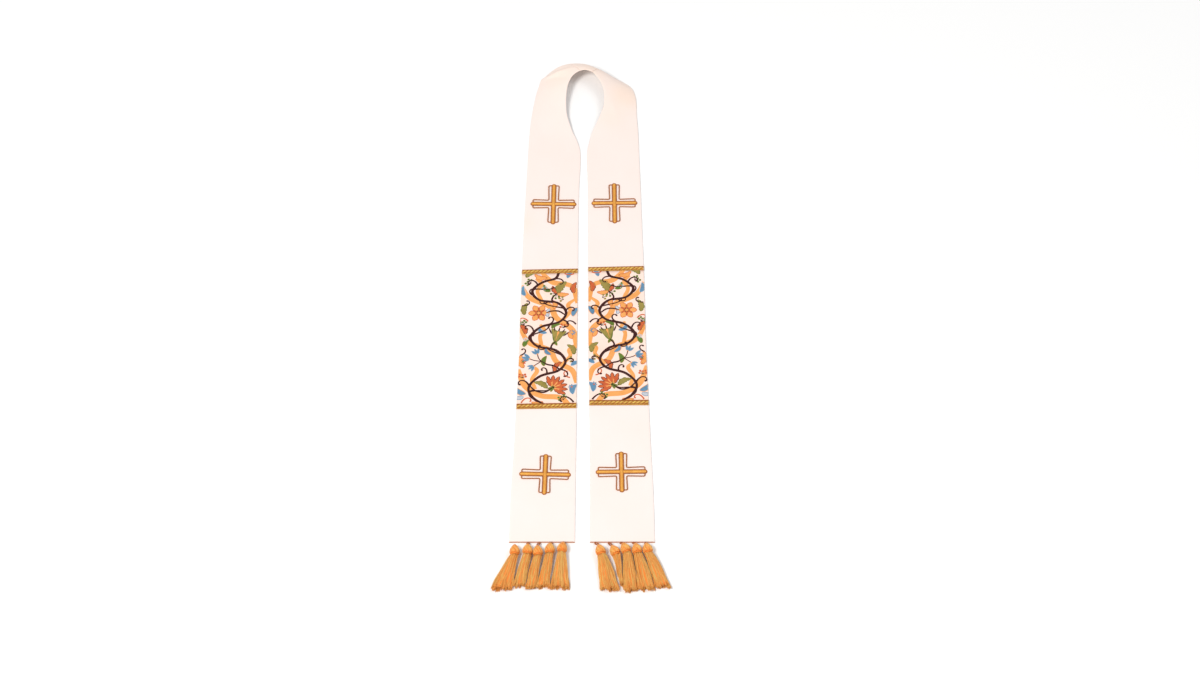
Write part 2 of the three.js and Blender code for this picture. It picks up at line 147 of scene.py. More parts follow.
Cross = namedtuple("Cross", "name x y width height turn")
CROSSES = [
    Cross("left_top", -65.0, 842.3, 99, 109, -0.8),
    Cross("right_top", 66.0, 844.9, 99, 109, 0.6),
    Cross("left_bottom", -75.6, 156.3, 104.4, 97, -1.4),
    Cross("right_bottom", 78.3, 162.3, 104.4, 97, 0.8),
]

# Tassels, left to right under each hem: the middle of the wound neck, the lean of the head in degrees, where
# the loop leaves the hem, and the span of the skirt's end.
Tassel = namedtuple("Tassel", "neck_x neck_y lean loop end_from end_to end_y")
TASSELS = {
    "left": [
        Tassel(-133.3, -34.7, 0, None, -180.3, -136.2, -109.9),
        Tassel(-108.1, -33.3, 1, -106.7, -135.3, -112.4, -103.6),
        Tassel(-87.1, -36.5, -4, -84.7, -111.6, -90.0, -107.0),
        Tassel(-64.5, -31.0, 3, -60.4, -89.2, -65.0, -105.9),
        Tassel(-40.9, -28.5, 9, -33.9, -64.2, -24.9, -107.0),
    ],
    "right": [
        Tassel(38.0, -34.0, -15, 24.9, 35.0, 73.6, -111.5),
        Tassel(67.5, -35.1, -24, 52.0, 74.6, 79.6, -100.0),
        Tassel(88.0, -29.8, -20, 74.8, 80.6, 111.2, -113.7),
        Tassel(109.1, -31.4, -11, 99.9, 112.0, 142.6, -110.4),
        Tassel(130.6, -30.6, -12.6, 124.6, 143.4, 174.1, -105.9),
    ],
}
HEAD_RADIUS = 10.2
HEAD_LENGTH = 22.0
NECK_RADIUS = 7.8

MIDLINE_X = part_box("hem_cord_left")[1].x - FRONT_EDGES[0].left_inner * MM
HEM_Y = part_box("front_left")[0].y


def to_frame(points):
    """Points of the garment, in millimetres, as metres in the shared frame."""
    return np.asarray(points, float) * MM + np.array([MIDLINE_X, HEM_Y, 0.0])


# ---------------------------------------------------------------- making meshes
class Work:
    """The points, faces and thread coordinates of one piece while it is being made, in millimetres.
    A face's thread coordinates run across the threads and along them. tone is each point's shade, 0 to 1."""

    def __init__(self):
        self.points = []
        self.faces = []
        self.thread = []
        self.tone = []
        self.count = 0

    def grid(self, points, thread, wrap=False, tone=0.5, caps=False):
        """Adds a net of points, rows by columns. thread has one column more when the net wraps."""
        rows, columns = points.shape[:2]
        row, column = np.meshgrid(
            np.arange(rows - 1), np.arange(columns if wrap else columns - 1), indexing="ij"
        )
        row, column = row.ravel(), column.ravel()
        beside = (column + 1) % columns
        corners = np.stack([
            row * columns + column,
            row * columns + beside,
            (row + 1) * columns + beside,
            (row + 1) * columns + column,
        ], axis=1)
        self.faces.extend((corners + self.count).tolist())
        self.thread.append(np.stack([
            thread[row, column],
            thread[row, column + 1],
            thread[row + 1, column + 1],
            thread[row + 1, column],
        ], axis=1).reshape(-1, 2))
        if caps:
            first = list(range(columns))[::-1]
            last = list(range((rows - 1) * columns, rows * columns))
            self.faces.append([self.count + i for i in first])
            self.faces.append([self.count + i for i in last])
            self.thread.append(thread[0, :columns][::-1])
            self.thread.append(thread[-1, :columns])
        self.points.append(points.reshape(-1, 3))
        self.tone.append(np.full(rows * columns, tone) if np.isscalar(tone) else tone.reshape(-1))
        self.count += rows * columns

    def mesh(self, name, closed=True):
        """A mesh of what was added, with its thread coordinates and tones. A closed one has its faces out."""
        points = np.concatenate(self.points)
        mesh = bpy.data.meshes.new(name)
        mesh.from_pydata(points.tolist(), [], self.faces)
        layer = mesh.uv_layers.new(name="thread")
        layer.data.foreach_set("uv", np.concatenate(self.thread).astype(np.float32).ravel())
        tone = mesh.attributes.new("tone", "FLOAT", "POINT")
        tone.data.foreach_set("value", np.concatenate(self.tone).astype(np.float32))
        mesh.polygons.foreach_set("use_smooth", np.ones(len(mesh.polygons), bool))
        if closed:
            face_out(mesh)
        return mesh


def read_points(mesh):
    points = np.empty(len(mesh.vertices) * 3, np.float32)
    mesh.vertices.foreach_get("co", points)
    return points.reshape(-1, 3).astype(float)


def write_points(mesh, points):
    mesh.vertices.foreach_set("co", points.astype(np.float32).ravel())
    mesh.update()


def face_out(mesh):
    """Turns every face round if the mesh is inside out, which its signed volume says."""
    points = read_points(mesh)
    mesh.calc_loop_triangles()
    corners = np.empty(len(mesh.loop_triangles) * 3, np.int32)
    mesh.loop_triangles.foreach_get("vertices", corners)
    a, b, c = (points[corners.reshape(-1, 3)[:, i]] - points.mean(0) for i in range(3))
    if (a * np.cross(b, c)).sum() < 0:
        mesh.flip_normals()


def place(name, mesh, material, nodes=()):
    """Puts a finished mesh, already in the shared frame, into the scene as a piece."""
    piece = bpy.data.objects.new(name, mesh)
    mesh.materials.append(material)
    bpy.context.scene.collection.objects.link(piece)
    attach(piece, "root")
    if nodes:
        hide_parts(*nodes)
    return piece


def make(name, work, material, nodes=(), closed=True):
    """Makes a piece from work done in the garment's millimetres."""
    mesh = work.mesh(name, closed)
    write_points(mesh, to_frame(read_points(mesh)))
    return place(name, mesh, material, nodes)


def lengths_along(line):
    """How far along a line each of its points is."""
    steps = np.linalg.norm(np.diff(line, axis=0), axis=1)
    return np.concatenate([[0], np.cumsum(steps)])


def tangents(line, closed=False):
    if closed:
        way = np.roll(line, -1, axis=0) - np.roll(line, 1, axis=0)
    else:
        way = np.gradient(line, axis=0)
    return way / np.maximum(np.linalg.norm(way, axis=1, keepdims=True), 1e-9)


def curve_through(points, count, closed=False):
    """count points spread evenly along a smooth curve through a few points."""
    knots = np.array(points, float)
    if closed:
        knots = np.vstack([knots[-1], knots, knots[0], knots[1]])
    else:
        knots = np.vstack([2 * knots[0] - knots[1], knots, 2 * knots[-1] - knots[-2]])
    spans = len(knots) - 3
    place_at = np.linspace(0, spans, spans * 12 + 1)
    start = np.minimum(place_at.astype(int), spans - 1)
    w = (place_at - start)[:, None]
    p0, p1, p2, p3 = (knots[start + k] for k in range(4))
    fine = 0.5 * (
        2 * p1 + (p2 - p0) * w + (2 * p0 - 5 * p1 + 4 * p2 - p3) * w**2 + (3 * p1 - p0 - 3 * p2 + p3) * w**3
    )
    along = lengths_along(fine)
    even = np.linspace(0, along[-1], count + 1 if closed else count)
    line = np.stack([np.interp(even, along, fine[:, k]) for k in range(fine.shape[1])], axis=1)
    return line[:-1] if closed else line


def axes_along(line, closed, up):
    """The sideways and the upward directions at each point of a line."""
    way = tangents(line, closed)
    side = np.cross(way, np.array(up, float))
    side /= np.maximum(np.linalg.norm(side, axis=1, keepdims=True), 1e-9)
    return side, np.cross(side, way)


def tube(work, line, wide, high, sides=8, closed=False, tone=0.5, up=(0, 0, 1)):
    """A round or flattened cord along a line: wide and high are its half sizes, one each or one a point."""
    side, over = axes_along(line, closed, up)
    turn = np.linspace(0, 2 * math.pi, sides + 1)[:-1]
    wide = np.broadcast_to(wide, len(line))[:, None, None]
    high = np.broadcast_to(high, len(line))[:, None, None]
    ring = (
        line[:, None]
        + side[:, None] * np.cos(turn)[None, :, None] * wide
        + over[:, None] * np.sin(turn)[None, :, None] * high
    )
    along = lengths_along(line)
    if closed:
        gap = np.linalg.norm(line[0] - line[-1])
        ring = np.concatenate([ring, ring[:1]])
        along = np.append(along, along[-1] + gap)
        wide = np.concatenate([wide, wide[:1]])
    round_it = np.linspace(0, 2 * math.pi, sides + 1)[None, :] * wide[:, :, 0]
    thread = np.stack([np.broadcast_to(along[:, None], round_it.shape), round_it], axis=2)
    tone = np.repeat(np.broadcast_to(tone, len(line)), sides)
    if not closed:
        work.grid(ring, thread, wrap=True, tone=tone, caps=True)
        return
    rows = len(ring) - 1
    net = Work()
    net.grid(ring, thread, wrap=True)
    faces = np.array(net.faces)
    faces[faces >= rows * sides] -= rows * sides
    work.faces.extend((faces + work.count).tolist())
    work.thread.extend(net.thread)
    work.points.append(ring[:-1].reshape(-1, 3))
    work.tone.append(tone)
    work.count += rows * sides


PLY_CENTRE = 0.48        # how far out a ply runs, and how thick it is, as shares of its cord's radius
PLY_RADIUS = 0.56


def twisted_cord(
    work, line, radius, lay, sides=6, flatten=1.0, closed=False, tones=(0.5,), painted_top_light=0.3, up=(0, 0, 1)
):
    """Two plies wound round a line: lay is the length of a full turn, crown how much painted highlight they
    get on top.
    """
    side, over = axes_along(line, closed, up)
    along = lengths_along(line)
    if closed:
        whole = along[-1] + np.linalg.norm(line[0] - line[-1])
        lay = whole / max(1, round(whole / lay))
    for ply in range(2):
        turn = 2 * math.pi * (along / lay + ply / 2)
        centre = (
            line
            + side * (radius * PLY_CENTRE * np.cos(turn))[:, None]
            + over * (radius * PLY_CENTRE * flatten * np.sin(turn))[:, None]
        )
        # A ply is painted lightest where it comes up on top and darker where it turns under: painted
        # highlight and painted shade.
        tone = tones[ply % len(tones)] * (1 - painted_top_light + painted_top_light * (0.5 + 0.5 * np.sin(turn)) ** 1.5)
        tube(work, centre, radius * PLY_RADIUS, radius * PLY_RADIUS * flatten, sides, closed, tone, up)


# ---------------------------------------------------------------- finishes
def colour(red, green, blue):
    """A colour given as it looks, 0 to 255, as linear light."""
    def linear(value):
        value /= 255
        return value / 12.92 if value <= 0.04045 else ((value + 0.055) / 1.055) ** 2.4
    return (linear(red), linear(green), linear(blue), 1.0)


def add_node(tree, kind, inputs=None, **settings):
    """A node with its settings, and each input given as a value or as another node's output."""
    made = tree.nodes.new(kind)
    for key, value in settings.items():
        setattr(made, key, value)
    for key, value in (inputs or {}).items():
        if isinstance(value, bpy.types.NodeSocket):
            tree.links.new(value, made.inputs[key])
        else:
            made.inputs[key].default_value = value
    return made


def maths(tree, operation, first, second=0.0, third=0.0):
    return add_node(
        tree, "ShaderNodeMath", {0: first, 1: second, 2: third}, operation=operation
    ).outputs[0]


def mix_colours(tree, share, first, second):
    return add_node(
        tree, "ShaderNodeMix", {0: share, 6: first, 7: second}, data_type="RGBA"
    ).outputs[2]


def new_group(name, inputs, outputs):
    """A shader node group with named sockets. Returns its tree, its inputs and its output node."""
    tree = bpy.data.node_groups.new(name, "ShaderNodeTree")
    for socket, (kind, value) in inputs.items():
        made = tree.interface.new_socket(socket, in_out="INPUT", socket_type=kind)
        if value is not None:
            made.default_value = value
    for socket, kind in outputs.items():
        tree.interface.new_socket(socket, in_out="OUTPUT", socket_type=kind)
    return tree, tree.nodes.new("NodeGroupInput").outputs, tree.nodes.new("NodeGroupOutput").inputs


FLOAT, VECTOR, COLOUR = "NodeSocketFloat", "NodeSocketVector", "NodeSocketColor"


def woven_cloth_group():
    """Plain weave: warp and weft threads that cross over and under, some thicker than others."""
    tree, given, out = new_group(
        "Woven Cloth",
        {"Thread Place": (VECTOR, None), "Thread Pitch": (FLOAT, 0.5), "Slub": (FLOAT, 0.4)},
        {"Height": FLOAT, "Thread Tone": FLOAT},
    )
    axes = add_node(tree, "ShaderNodeSeparateXYZ", {0: given["Thread Place"]}).outputs
    waves = []
    for axis in ("X", "Y"):
        turns = maths(tree, "DIVIDE", axes[axis], given["Thread Pitch"])
        waves.append(maths(tree, "SINE", maths(tree, "MULTIPLY", turns, math.pi)))
    cross = maths(tree, "MULTIPLY_ADD", maths(tree, "MULTIPLY", waves[0], waves[1]), 0.5, 0.5)
    stretched = add_node(
        tree, "ShaderNodeVectorMath", {0: given["Thread Place"], 1: (0.9, 0.07, 1.0)}, operation="MULTIPLY"
    ).outputs[0]
    slub = add_node(
        tree, "ShaderNodeTexNoise", {"Vector": stretched, "Scale": 0.8, "Detail": 3.0}
    ).outputs["Fac"]
    height = maths(tree, "MULTIPLY_ADD", slub, given["Slub"], cross)
    tree.links.new(height, out["Height"])
    tree.links.new(slub, out["Thread Tone"])
    return tree


def laid_thread_group():
    """Threads laid side by side: round ridges with a tone of their own, and a shadow line between them."""
    tree, given, out = new_group(
        "Laid Thread",
        {
            "Thread Place": (VECTOR, None),
            "Thread Pitch": (FLOAT, 0.8),
            "Slant": (FLOAT, 0.0),
            "Wobble": (FLOAT, 0.15),
        },
        {"Height": FLOAT, "Thread Tone": FLOAT, "Groove Shade": FLOAT},
    )
    axes = add_node(tree, "ShaderNodeSeparateXYZ", {0: given["Thread Place"]}).outputs
    slanted = maths(tree, "MULTIPLY_ADD", axes["Y"], given["Slant"], axes["X"])
    noise = add_node(
        tree, "ShaderNodeTexNoise", {"Vector": given["Thread Place"], "Scale": 0.35, "Detail": 2.0}
    ).outputs["Fac"]
    pitches = maths(tree, "DIVIDE", slanted, given["Thread Pitch"])
    wandering = maths(tree, "MULTIPLY_ADD", noise, given["Wobble"], pitches)
    ridge = maths(tree, "ABSOLUTE", maths(tree, "SINE", maths(tree, "MULTIPLY", wandering, math.pi)))
    height = maths(tree, "POWER", ridge, 0.6)
    number = maths(tree, "FLOOR", wandering)
    tone = add_node(tree, "ShaderNodeTexWhiteNoise", {"W": number}, noise_dimensions="1D").outputs["Value"]
    # Painted shade: the grooves between threads come out darker in the colour.
    between = maths(tree, "POWER", maths(tree, "SUBTRACT", 1.0, ridge), 3.0)
    tree.links.new(height, out["Height"])
    tree.links.new(tone, out["Thread Tone"])
    tree.links.new(between, out["Groove Shade"])
    return tree


def uneven_dye_group():
    """Colour that drifts between two near shades in soft patches, as dyed and handled cloth does."""
    tree, given, out = new_group(
        "Uneven Dye",
        {
            "Colour": (COLOUR, (1, 1, 1, 1)),
            "Second Colour": (COLOUR, (1, 1, 1, 1)),
            "Place": (VECTOR, None),
            "Patch Scale": (FLOAT, 20.0),
            "Amount": (FLOAT, 0.5),
        },
        {"Colour": COLOUR, "Patch": FLOAT},
    )
    noise = add_node(
        tree, "ShaderNodeTexNoise", {"Vector": given["Place"], "Scale": given["Patch Scale"], "Detail": 4.0}
    ).outputs["Fac"]
    spread = add_node(
        tree, "ShaderNodeMapRange", {"Value": noise, "From Min": 0.3, "From Max": 0.7}
    ).outputs["Result"]
    patch = maths(tree, "MULTIPLY", spread, given["Amount"])
    tree.links.new(mix_colours(tree, patch, given["Colour"], given["Second Colour"]), out["Colour"])
    tree.links.new(patch, out["Patch"])
    return tree


WOVEN = woven_cloth_group()
LAID = laid_thread_group()
DYE = uneven_dye_group()


def use_group(tree, group, inputs):
    return add_node(tree, "ShaderNodeGroup", inputs, node_tree=group).outputs


def finish_with(name, build, roughness, **sockets):
    """A material whose build function returns its colour and bump height, with plain values on the shader."""
    material = bpy.data.materials.new(name)
    material.use_nodes = True
    tree = material.node_tree
    shader = tree.nodes["Principled BSDF"]
    base, height, strength, distance = build(tree)
    tree.links.new(base, shader.inputs["Base Color"])
    bump = add_node(tree, "ShaderNodeBump", {"Height": height, "Strength": strength, "Distance": distance})
    tree.links.new(bump.outputs[0], shader.inputs["Normal"])
    shader.inputs["Roughness"].default_value = roughness
    for socket, value in sockets.items():
        shader.inputs[socket.replace("_", " ")].default_value = value
    return material


def thread_place(tree):
    return add_node(tree, "ShaderNodeUVMap", uv_map="thread").outputs[0]


def body_place(tree):
    return add_node(tree, "ShaderNodeTexCoord").outputs["Object"]


def point_tone(tree):
    return add_node(tree, "ShaderNodeAttribute", attribute_name="tone").outputs["Fac"]


def cream_cloth():
    """Fine cream cloth, a little warmer and darker towards the neck and in a few patches."""
    def build(tree):
        weave = use_group(tree, WOVEN, {
            "Thread Place": thread_place(tree), "Thread Pitch": 0.55, "Slub": 0.5,
        })
        dyed = use_group(tree, DYE, {
            "Colour": CREAM, "Second Colour": CREAM_DEEP, "Place": body_place(tree),
            "Patch Scale": 9.0, "Amount": 0.35,
        })["Colour"]
        slubbed = mix_colours(tree, maths(tree, "MULTIPLY", weave["Thread Tone"], 0.12), dyed, CREAM_DEEP)
        warmed = mix_colours(tree, maths(tree, "MULTIPLY", point_tone(tree), 0.8), slubbed, CREAM_WARM)
        return warmed, weave["Height"], 0.25, 0.0002
    return finish_with("cream_cloth", build, 0.82, Sheen_Weight=0.12, Sheen_Roughness=0.5)


def orphrey_ground():
    """The pale pink-cream ground cloth under the embroidery."""
    def build(tree):
        weave = use_group(tree, WOVEN, {"Thread Place": thread_place(tree), "Thread Pitch": 0.7, "Slub": 0.7})
        dyed = use_group(tree, DYE, {
            "Colour": GROUND, "Second Colour": GROUND_DEEP, "Place": body_place(tree),
            "Patch Scale": 28.0, "Amount": 0.6,
        })["Colour"]
        slubbed = mix_colours(tree, maths(tree, "MULTIPLY", weave["Thread Tone"], 0.25), dyed, GROUND_DEEP)
        return slubbed, weave["Height"], 0.35, 0.0003
    return finish_with("orphrey_ground", build, 0.85)


STITCH_PITCH = 0.9


def stitched(name, light, dark):
    """Embroidery thread: satin and stem stitches laid side by side."""
    def build(tree):
        laid = use_group(tree, LAID, {
            "Thread Place": thread_place(tree), "Thread Pitch": STITCH_PITCH, "Slant": 0.0, "Wobble": 0.5,
        })
        dyed = use_group(tree, DYE, {
            "Colour": light, "Second Colour": dark, "Place": body_place(tree),
            "Patch Scale": 60.0, "Amount": 0.5,
        })["Colour"]
        toned = mix_colours(tree, maths(tree, "MULTIPLY", laid["Thread Tone"], 0.35), dyed, dark)
        # Painted shade: the colour darkens towards the dark thread in the grooves between stitches.
        groove_shaded = mix_colours(tree, maths(tree, "MULTIPLY", laid["Groove Shade"], 0.45), toned, dark)
        return groove_shaded, laid["Height"], 0.5, 0.0003
    return finish_with(name, build, 0.55, Sheen_Weight=0.02, Specular_IOR_Level=0.25)


def corded(name, light, dark, deep, pitch, slant, roughness, metallic=0.0):
    """Twisted cord and braid: fine yarns that wind round each ply, its light and dark from the point tones,
    which carry painted highlights and painted shade besides its own tones; deep is the painted shade in the
    grooves.
    """
    def build(tree):
        laid = use_group(tree, LAID, {
            "Thread Place": thread_place(tree), "Thread Pitch": pitch, "Slant": slant, "Wobble": 0.3,
        })
        toned = mix_colours(tree, point_tone(tree), dark, light)
        dyed = use_group(tree, DYE, {
            "Colour": toned, "Second Colour": dark, "Place": body_place(tree),
            "Patch Scale": 90.0, "Amount": 0.4,
        })["Colour"]
        # Painted shade: the grooves between the yarns darken towards deep.
        groove_shaded = mix_colours(tree, maths(tree, "MULTIPLY", laid["Groove Shade"], 0.6), dyed, deep)
        return groove_shaded, laid["Height"], 0.6, 0.0003
    return finish_with(name, build, roughness, Metallic=metallic)


CREAM = colour(246, 232, 227)
CREAM_DEEP = colour(241, 224, 215)
CREAM_WARM = colour(248, 224, 207)
GROUND = colour(252, 228, 217)
GROUND_DEEP = colour(248, 213, 196)

CREAM_CLOTH = cream_cloth()
ORPHREY_GROUND = orphrey_ground()
THREADS = {
    "maroon": stitched("maroon_thread", colour(70, 20, 14), colour(40, 10, 8)),
    "apricot": stitched("apricot_thread", colour(246, 176, 104), colour(230, 146, 70)),
    "rust": stitched("rust_thread", colour(218, 112, 62), colour(178, 70, 36)),
    "blue": stitched("blue_thread", colour(112, 156, 186), colour(72, 112, 146)),
    "olive": stitched("olive_thread", colour(172, 152, 80), colour(122, 110, 48)),
    "green": stitched("green_thread", colour(106, 132, 52), colour(70, 94, 32)),
    "pale": stitched("pale_thread", colour(216, 216, 220), colour(168, 178, 190)),
}
GOLD_BRAID = corded(
    "gold_braid", colour(255, 216, 104), colour(176, 86, 22), colour(96, 48, 16), 0.7, 0.7, 0.4, 0.15
)
BROWN_CORD = corded(
    "brown_cord", colour(214, 136, 62), colour(150, 80, 30), colour(84, 40, 14), 0.8, 0.8, 0.7
)
HEM_TWIST = corded(
    "hem_twist", colour(236, 172, 128), colour(196, 124, 86), colour(130, 70, 44), 0.6, 0.8, 0.6
)
LOOP_CORD = corded(
    "loop_cord", colour(236, 158, 84), colour(176, 92, 40), colour(110, 52, 20), 0.6, 0.8, 0.5
)
CROSS_GOLD = corded(
    "cross_gold", colour(255, 190, 86), colour(204, 122, 42), colour(150, 84, 30), 0.6, 0.0, 0.36, 0.15
)
TASSEL_GOLD = corded(
    "tassel_gold", colour(255, 216, 124), colour(250, 138, 40), colour(196, 98, 26), 0.5, 0.6, 0.42, 0.1
)


# ---------------------------------------------------------------- the band of cloth
def rail(stations):
    """A smooth curve through points, read at a place counted in points (a centripetal Catmull-Rom curve)."""
    knots = np.array(stations, float)
    knots = np.vstack([2 * knots[0] - knots[1], knots, 2 * knots[-1] - knots[-2]])
    last = len(stations) - 1

    def at(along):
        along = np.clip(np.asarray(along, float), 0, last)
        start = np.minimum(along.astype(int), last - 1)
        w = (along - start)[..., None]
        p0, p1, p2, p3 = (knots[start + k] for k in range(4))
        d0, d1, d2 = (
            np.sum((b - a) ** 2, axis=-1, keepdims=True) ** 0.25 for a, b in ((p0, p1), (p1, p2), (p2, p3))
        )
        t1 = ((p1 - p0) / d0 - (p2 - p0) / (d0 + d1) + (p2 - p1) / d1) * d1
        t2 = ((p2 - p1) / d1 - (p3 - p1) / (d1 + d2) + (p3 - p2) / d2) * d1
        return p1 + t1 * w + (3 * (p2 - p1) - 2 * t1 - t2) * w**2 + (2 * (p1 - p2) + t1 + t2) * w**3

    return at


def level_section(outer, inner, y):
    return Section((outer, y, CLOTH), (inner, y, CLOTH), 0)


SECTIONS = (
    [level_section(row.left_outer, row.left_inner, row.y) for row in FRONT_EDGES]
    + NECK_SECTIONS
    + [level_section(row.right_outer, row.right_inner, row.y) for row in reversed(FRONT_EDGES)]
)
LAST_SECTION = len(SECTIONS) - 1
OUTER_RAIL = rail([section.outer for section in SECTIONS])
INNER_RAIL = rail([section.inner for section in SECTIONS])
ROLLS = np.array([section.roll for section in SECTIONS], float)


def band_point(along, across):
    """The face of the band: along it in sections, across it from 0 at the outer edge to 1 at the inner."""
    outer, inner = OUTER_RAIL(along), INNER_RAIL(along)
    roll = np.interp(along, np.arange(len(SECTIONS)), ROLLS)[..., None]
    turn = inner + (outer - inner) * (0.5 + 0.44 * roll)
    turn[..., 2:] = (inner[..., 2:] + outer[..., 2:]) / 2 * (1 - roll) + (inner[..., 2:] - 3) * roll
    v = np.asarray(across, float)[..., None]
    return (1 - v) ** 2 * outer + 2 * v * (1 - v) * turn + v**2 * inner


def band_normal(along, across):
    step = 0.01
    forward = band_point(np.minimum(along + step, LAST_SECTION), across) - band_point(
        np.maximum(along - step, 0), across
    )
    inward = band_point(along, np.minimum(across + step, 1)) - band_point(along, np.maximum(across - step, 0))
    normal = np.cross(inward, forward)
    return normal / np.linalg.norm(normal, axis=-1, keepdims=True)


def lift(x, y):
    """How far the soft folds raise the cloth at a place."""
    total = np.zeros(np.broadcast(x, y).shape)
    for fold in FOLDS:
        turn = math.radians(fold.turn)
        across = (x - fold.x) * math.cos(turn) - (y - fold.y) * math.sin(turn)
        up = (x - fold.x) * math.sin(turn) + (y - fold.y) * math.cos(turn)
        total += fold.height * np.exp(-((across / fold.width) ** 2) - (up / fold.length) ** 2)
    return total


def front_span(side, y):
    """The left and right ends of a line across a front at a level above the hem."""
    levels = [row.y for row in FRONT_EDGES]
    names = ("left_outer", "left_inner") if side == "left" else ("right_inner", "right_outer")
    return [np.interp(y, levels, [getattr(row, name) for row in FRONT_EDGES]) for name in names]


END_CLEAR = 0.06         # sections kept free of plain rows at each end
END_STEP = 0.02
# Rows that round off each end: how far in from the end, and the share of the thickness there.
END_ROWS = [(0.02, 0.25), (0.16, 0.5), (0.55, 0.84), (1.2, 1.0)]
CLOTH_COLUMNS = 26


def cloth_piece(name, start, stop):
    """A closed shell of the band between two places along it, with soft folded edges all round."""
    fronts = len(FRONT_EDGES)
    places = []
    for section in range(int(start), int(math.ceil(stop))):
        round_neck = fronts - 1 <= section < LAST_SECTION - fronts + 1
        steps = 8 if round_neck else 13
        places.extend(section + np.arange(steps) / steps)
    middle = np.array([p for p in places if start + END_CLEAR < p < stop - END_CLEAR])
    # How much of a section a millimetre is at each end.
    per_mm = [
        END_STEP / np.linalg.norm(band_point(np.array(p + END_STEP * s), 0.5) - band_point(np.array(p), 0.5))
        for p, s in ((start, 1), (stop, -1))
    ]
    rows = [start + inset * per_mm[0] for inset, _ in END_ROWS]
    rows += list(middle) + [stop - inset * per_mm[1] for inset, _ in reversed(END_ROWS)]
    shares = [share for _, share in END_ROWS]
    full = np.array(shares + [1.0] * len(middle) + shares[::-1])
    rows = np.array(rows)
    width = np.linalg.norm(OUTER_RAIL(rows) - INNER_RAIL(rows), axis=-1)[:, None]
    turn = np.radians([30, 60, 90, 120, 150])
    inset = EDGE_ROUND * (1 - np.sin(turn))[None] / width
    depth = EDGE_ROUND * (1 - np.cos(turn))
    flat = EDGE_ROUND / width + (1 - 2 * EDGE_ROUND / width) * np.linspace(0, 1, CLOTH_COLUMNS + 1)[None]
    across = np.concatenate([flat, 1 - inset, flat[:, ::-1], inset], axis=1)
    level = np.ones(CLOTH_COLUMNS + 1)
    deep = np.concatenate([0 * level, depth, CLOTH * level, depth[::-1]])
    deep = EDGE_ROUND + (deep[None] - EDGE_ROUND) * full[:, None]
    along = np.broadcast_to(rows[:, None], across.shape)
    face = band_point(along, across)
    normal = band_normal(along, across)
    points = face + normal * (lift(face[..., 0], face[..., 1]) - deep)[..., None]
    points[..., 2] = np.maximum(points[..., 2], 0)
    run = lengths_along(band_point(rows, np.full(len(rows), 0.5)))
    thread = np.stack([across * width, np.broadcast_to(run[:, None], across.shape)], axis=2)
    thread = np.concatenate([thread, thread[:, :1]], axis=1)
    # Warmer and a little darker towards the neck, and in the patches.
    warmth = 0.25 * np.clip((face[..., 1] - 760) / 420, 0, 1)
    for patch in WARM_PATCHES:
        away = np.hypot(face[..., 0] - patch.x, face[..., 1] - patch.y)
        warmth += patch.strength * np.exp(-((away / patch.reach) ** 2))
    work = Work()
    work.grid(points, thread, wrap=True, tone=np.clip(warmth, 0, 1), caps=True)
    return make(name, work, CREAM_CLOTH, [name.replace("_cloth", "")])


front_left = cloth_piece("front_left_cloth", 0, LEFT_SEAM - SEAM_TRIM)
neck_back = cloth_piece("neck_back_cloth", LEFT_SEAM + SEAM_TRIM, RIGHT_SEAM - SEAM_TRIM)
front_right = cloth_piece("front_right_cloth", RIGHT_SEAM + SEAM_TRIM, LAST_SECTION)

# ---------------------------------------------------------------- orphreys
# The embroidery is drawn on a plan: across from the inner edge of the front, and up from the middle of the
# lower braid. Both fronts have the same plan, turned over.
ON_CLOTH = CLOTH + LINING_GAP
EDGE_INSET = 0.5
PLAN_WIDTH = 121.0
PLAN_LENGTH = 345.0
BRAID_HALF = 5.6

Ribbon = namedtuple("Ribbon", "width points")
RIBBONS = [
    Ribbon(15, [(14, 0), (34, 20), (74, 26), (106, 52), (121, 92)]),
    Ribbon(14, [(0, 56), (10, 88), (42, 110), (58, 140), (100, 160), (121, 198)]),
    Ribbon(15, [(0, 144), (10, 190), (44, 222), (60, 254), (102, 276), (121, 308)]),
    Ribbon(14, [(0, 260), (12, 304), (54, 316), (80, 345)]),
    Ribbon(10, [(84, 42), (92, 66), (82, 88), (92, 100)]),
    Ribbon(10, [(30, 104), (14, 124), (16, 140), (4, 152)]),
    Ribbon(10, [(74, 150), (78, 176), (70, 192), (78, 206)]),
    Ribbon(10, [(34, 214), (16, 238), (20, 256), (6, 270)]),
    Ribbon(10, [(76, 268), (86, 292), (78, 312), (90, 326)]),
]
MAIN_STEM = [
    (60, 0), (88, 20), (98, 47), (76, 74), (38, 88), (24, 112), (44, 139), (84, 151), (98, 175), (76, 200),
    (38, 212), (24, 236), (42, 261), (82, 270), (97, 294), (76, 316), (48, 326), (40, 345),
]
# Stalks that carry the flowers.
STALKS = [
    [(97, 52), (84, 38), (66, 34), (50, 44)],
    [(34, 90), (48, 100), (62, 104), (74, 112)],
    [(44, 139), (54, 146), (52, 154), (46, 160)],
    [(26, 230), (40, 240), (56, 240), (66, 236)],
    [(42, 261), (54, 268), (52, 278), (44, 286)],
]
